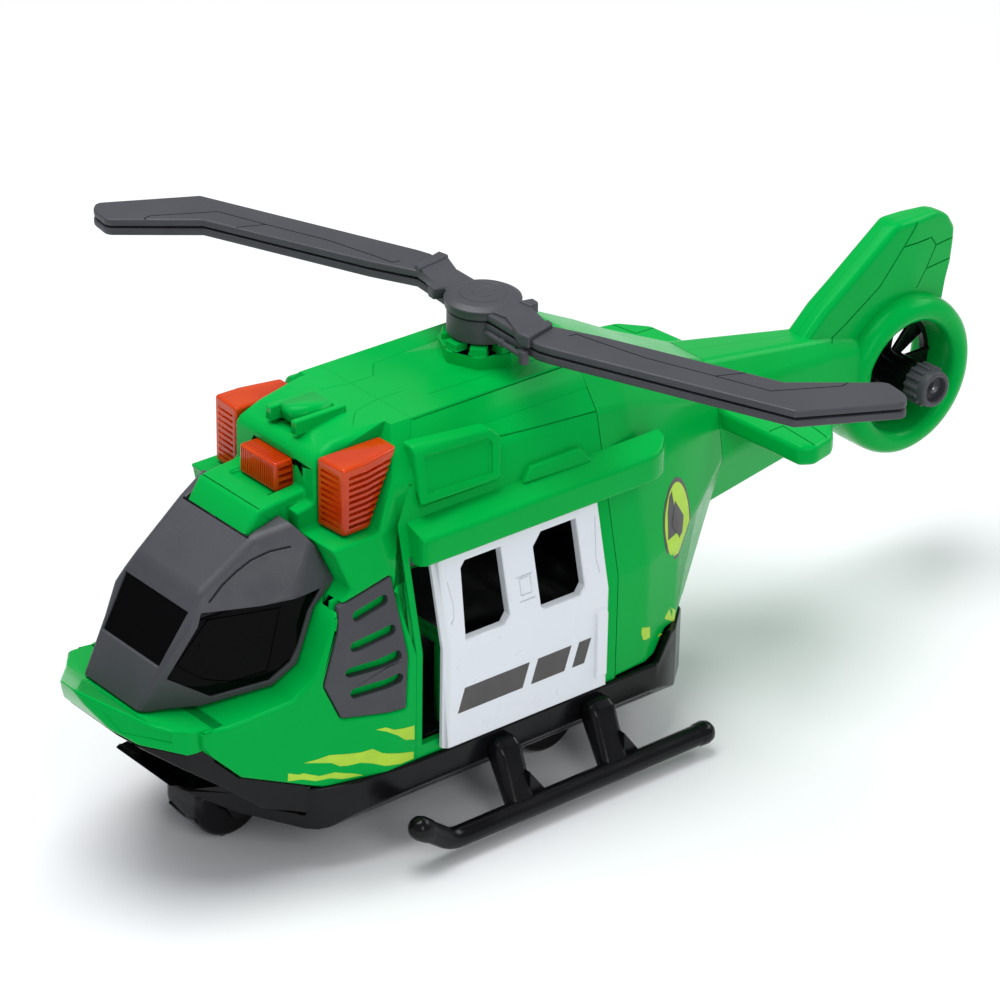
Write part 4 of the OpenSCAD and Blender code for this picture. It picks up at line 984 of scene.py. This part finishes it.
def build_wheels():
    place = (0, -106, 11)
    tyre = lathe([(2, -7.4), (9.0, -7.4), (9.9, -7.0), (10.5, -6.1), (10.6, -5), (10.6, 5),
                  (10.5, 6.1), (9.9, 7.0), (9.0, 7.4), (2, 7.4)], place, "x", 72)
    ribs = []
    ribs_per_side = 6
    for i in range(ribs_per_side):
        for lean in (1, -1):
            rib = box((0.2, -0.7, 10.2), (6.2, 0.7, 10.78)).round(0.2, 2, 30)
            rib.move(Matrix.Rotation(math.radians(20), 4, "Z"))
            if lean < 0:
                rib.move(Matrix.Scale(-1, 4, (1, 0, 0)))
            rib.move(Matrix.Translation(place) @ Matrix.Rotation(math.tau * i / ribs_per_side, 4, "X"))
            ribs.append(rib)
    piece(tyre.loose(*ribs), "nose_wheel", "front_wheel_unit", "black", ("front_wheel",))

    for name in ("rear_wheel_port", "rear_wheel_starboard"):
        tread = Solid.of_node(name).round(0.7, 3, 40)
        piece(tread, name + "_tyre", "rear_wheels_unit", "black", (name,))


REAR_ROWS = [
    (-5, CABIN_HALF), (6, [(16.5, 107), (25.5, 95), (36.4, 54), (36.4, 24)]),
    (20, [(13, 101), (22, 90), (32.4, 56), (31.4, 24.5)]),
    (31, [(11, 95.5), (19, 85.5), (27, 58), (22, 27.5)]),
    (49, [(7.5, 88), (13, 80), (16.5, 62), (9, 44.5)])]


def build_rear():
    shell = loft([(y, both_sides(half)) for y, half in REAR_ROWS])
    shell.round(1.3, 3, 9, lambda m: -4 < m.y < 48.5)
    inner = [(y, inset(both_sides(half), 2.4)) for y, half in REAR_ROWS]
    shell.cut(loft([(-10, inner[0][1])] + inner + [(54, inner[-1][1])]))
    shell.cut(box((-30, -10, 20), (30, 14, 27.5)),
              prism("x", [(8.9, 0), (8.9, 24.15), (14.85, 30.1), (34, 30.1), (34, 0)], -50, 50))
    piece(shell, "rear_body", "airframe", "green", ("rear_shell",))


def rear_layer(outline, low, high):
    """A thin layer on the port side of the rear body, with an outline in Y and Z."""
    grown = [(y, inset(both_sides(half), low)) for y, half in REAR_ROWS]
    kept = [(y, inset(both_sides(half), high)) for y, half in REAR_ROWS]
    layer = prism("x", outline, 14, 45).keep(loft(grown))
    return layer.cut(loft([(-12, kept[0][1])] + kept + [(60, kept[-1][1])]))


def build_prints():
    tears = [[(8.5, 38.5), (12.8, 39), (16.9, 35.7), (20.8, 32.6), (24, 29.3), (23, 27.2), (19.9, 29.6),
              (15.5, 32.5), (10.2, 36.2)],
             [(4.3, 35.5), (7.7, 34.2), (10.6, 31.6), (14.4, 28.6), (10.9, 29.2), (8, 31), (4.9, 31.5),
              (4, 33.9)]]

    def torn():
        bands = [rear_layer(outline, -0.06, 0.3) for outline in tears]
        return bands[0].loose(*bands[1:])

    both(torn, "rear_stripes", "airframe", "lime", ())

    middle, long, short, lean = (20.3, 59.5), 10.4, 6.6, -14

    def oval(scale, count=48):
        turn = math.radians(lean)
        ring = []
        for i in range(count):
            a = math.tau * i / count
            u, v = short * scale * math.cos(a), long * scale * math.sin(a)
            ring.append((middle[0] + u * math.cos(turn) - v * math.sin(turn),
                         middle[1] + u * math.sin(turn) + v * math.cos(turn)))
        return ring

    def diamond():
        corners = ((0, 0.5), (0.46, 0), (0, -0.5), (-0.46, 0))
        return [(middle[0] + short * u, middle[1] + long * v) for u, v in corners]

    both(lambda: rear_layer(oval(1.0), -0.05, 0.3), "emblem_ring", "airframe", "mark", ())
    both(lambda: rear_layer(oval(0.89), -0.09, 0.2), "emblem_disc", "airframe", "lime", ())
    both(lambda: rear_layer(diamond(), -0.13, 0.1), "emblem_diamond", "airframe", "mark", ())


MAKERS = [build_canopy, build_front, build_lamps, build_cabin, build_doors, build_rotor, build_rear,
          build_tail, build_chassis, build_wheels, build_prints]

# ---------------------------------------------------------------- CAD nodes that stay, and the floor


def keep_nodes():
    """Gives every CAD node that still shows its material and smooth shading."""
    for name, node in NODES.items():
        if node.hide_render:
            continue
        node.data.materials.clear()
        node.data.materials.append(MATERIALS[NODE_LOOK[name]])
        node.data.polygons.foreach_set("use_smooth", [True] * len(node.data.polygons))
        weld = node.modifiers.new("weld", "WELD")
        weld.merge_threshold = 0.00001
        shading = node.modifiers.new("shading", "WEIGHTED_NORMAL")
        shading.keep_sharp = True


def lay_floor():
    material = Shade("floor", (0.86, 0.87, 0.88), 0.6).vary_colour(4, (0.85, 0.86, 0.87)).material
    data = bpy.data.meshes.new("floor")
    data.from_pydata([(-4, -4, 0), (4, -4, 0), (4, 4, 0), (-4, 4, 0)], [], [(0, 1, 2, 3)])
    floor = bpy.data.objects.new("floor", data)
    data.materials.append(material)
    scene.collection.objects.link(floor)
    floor.location.z = -0.0002


MATERIALS = make_materials()
aim_camera()
light_studio()
lay_floor()
for maker in MAKERS:
    maker()
keep_nodes()
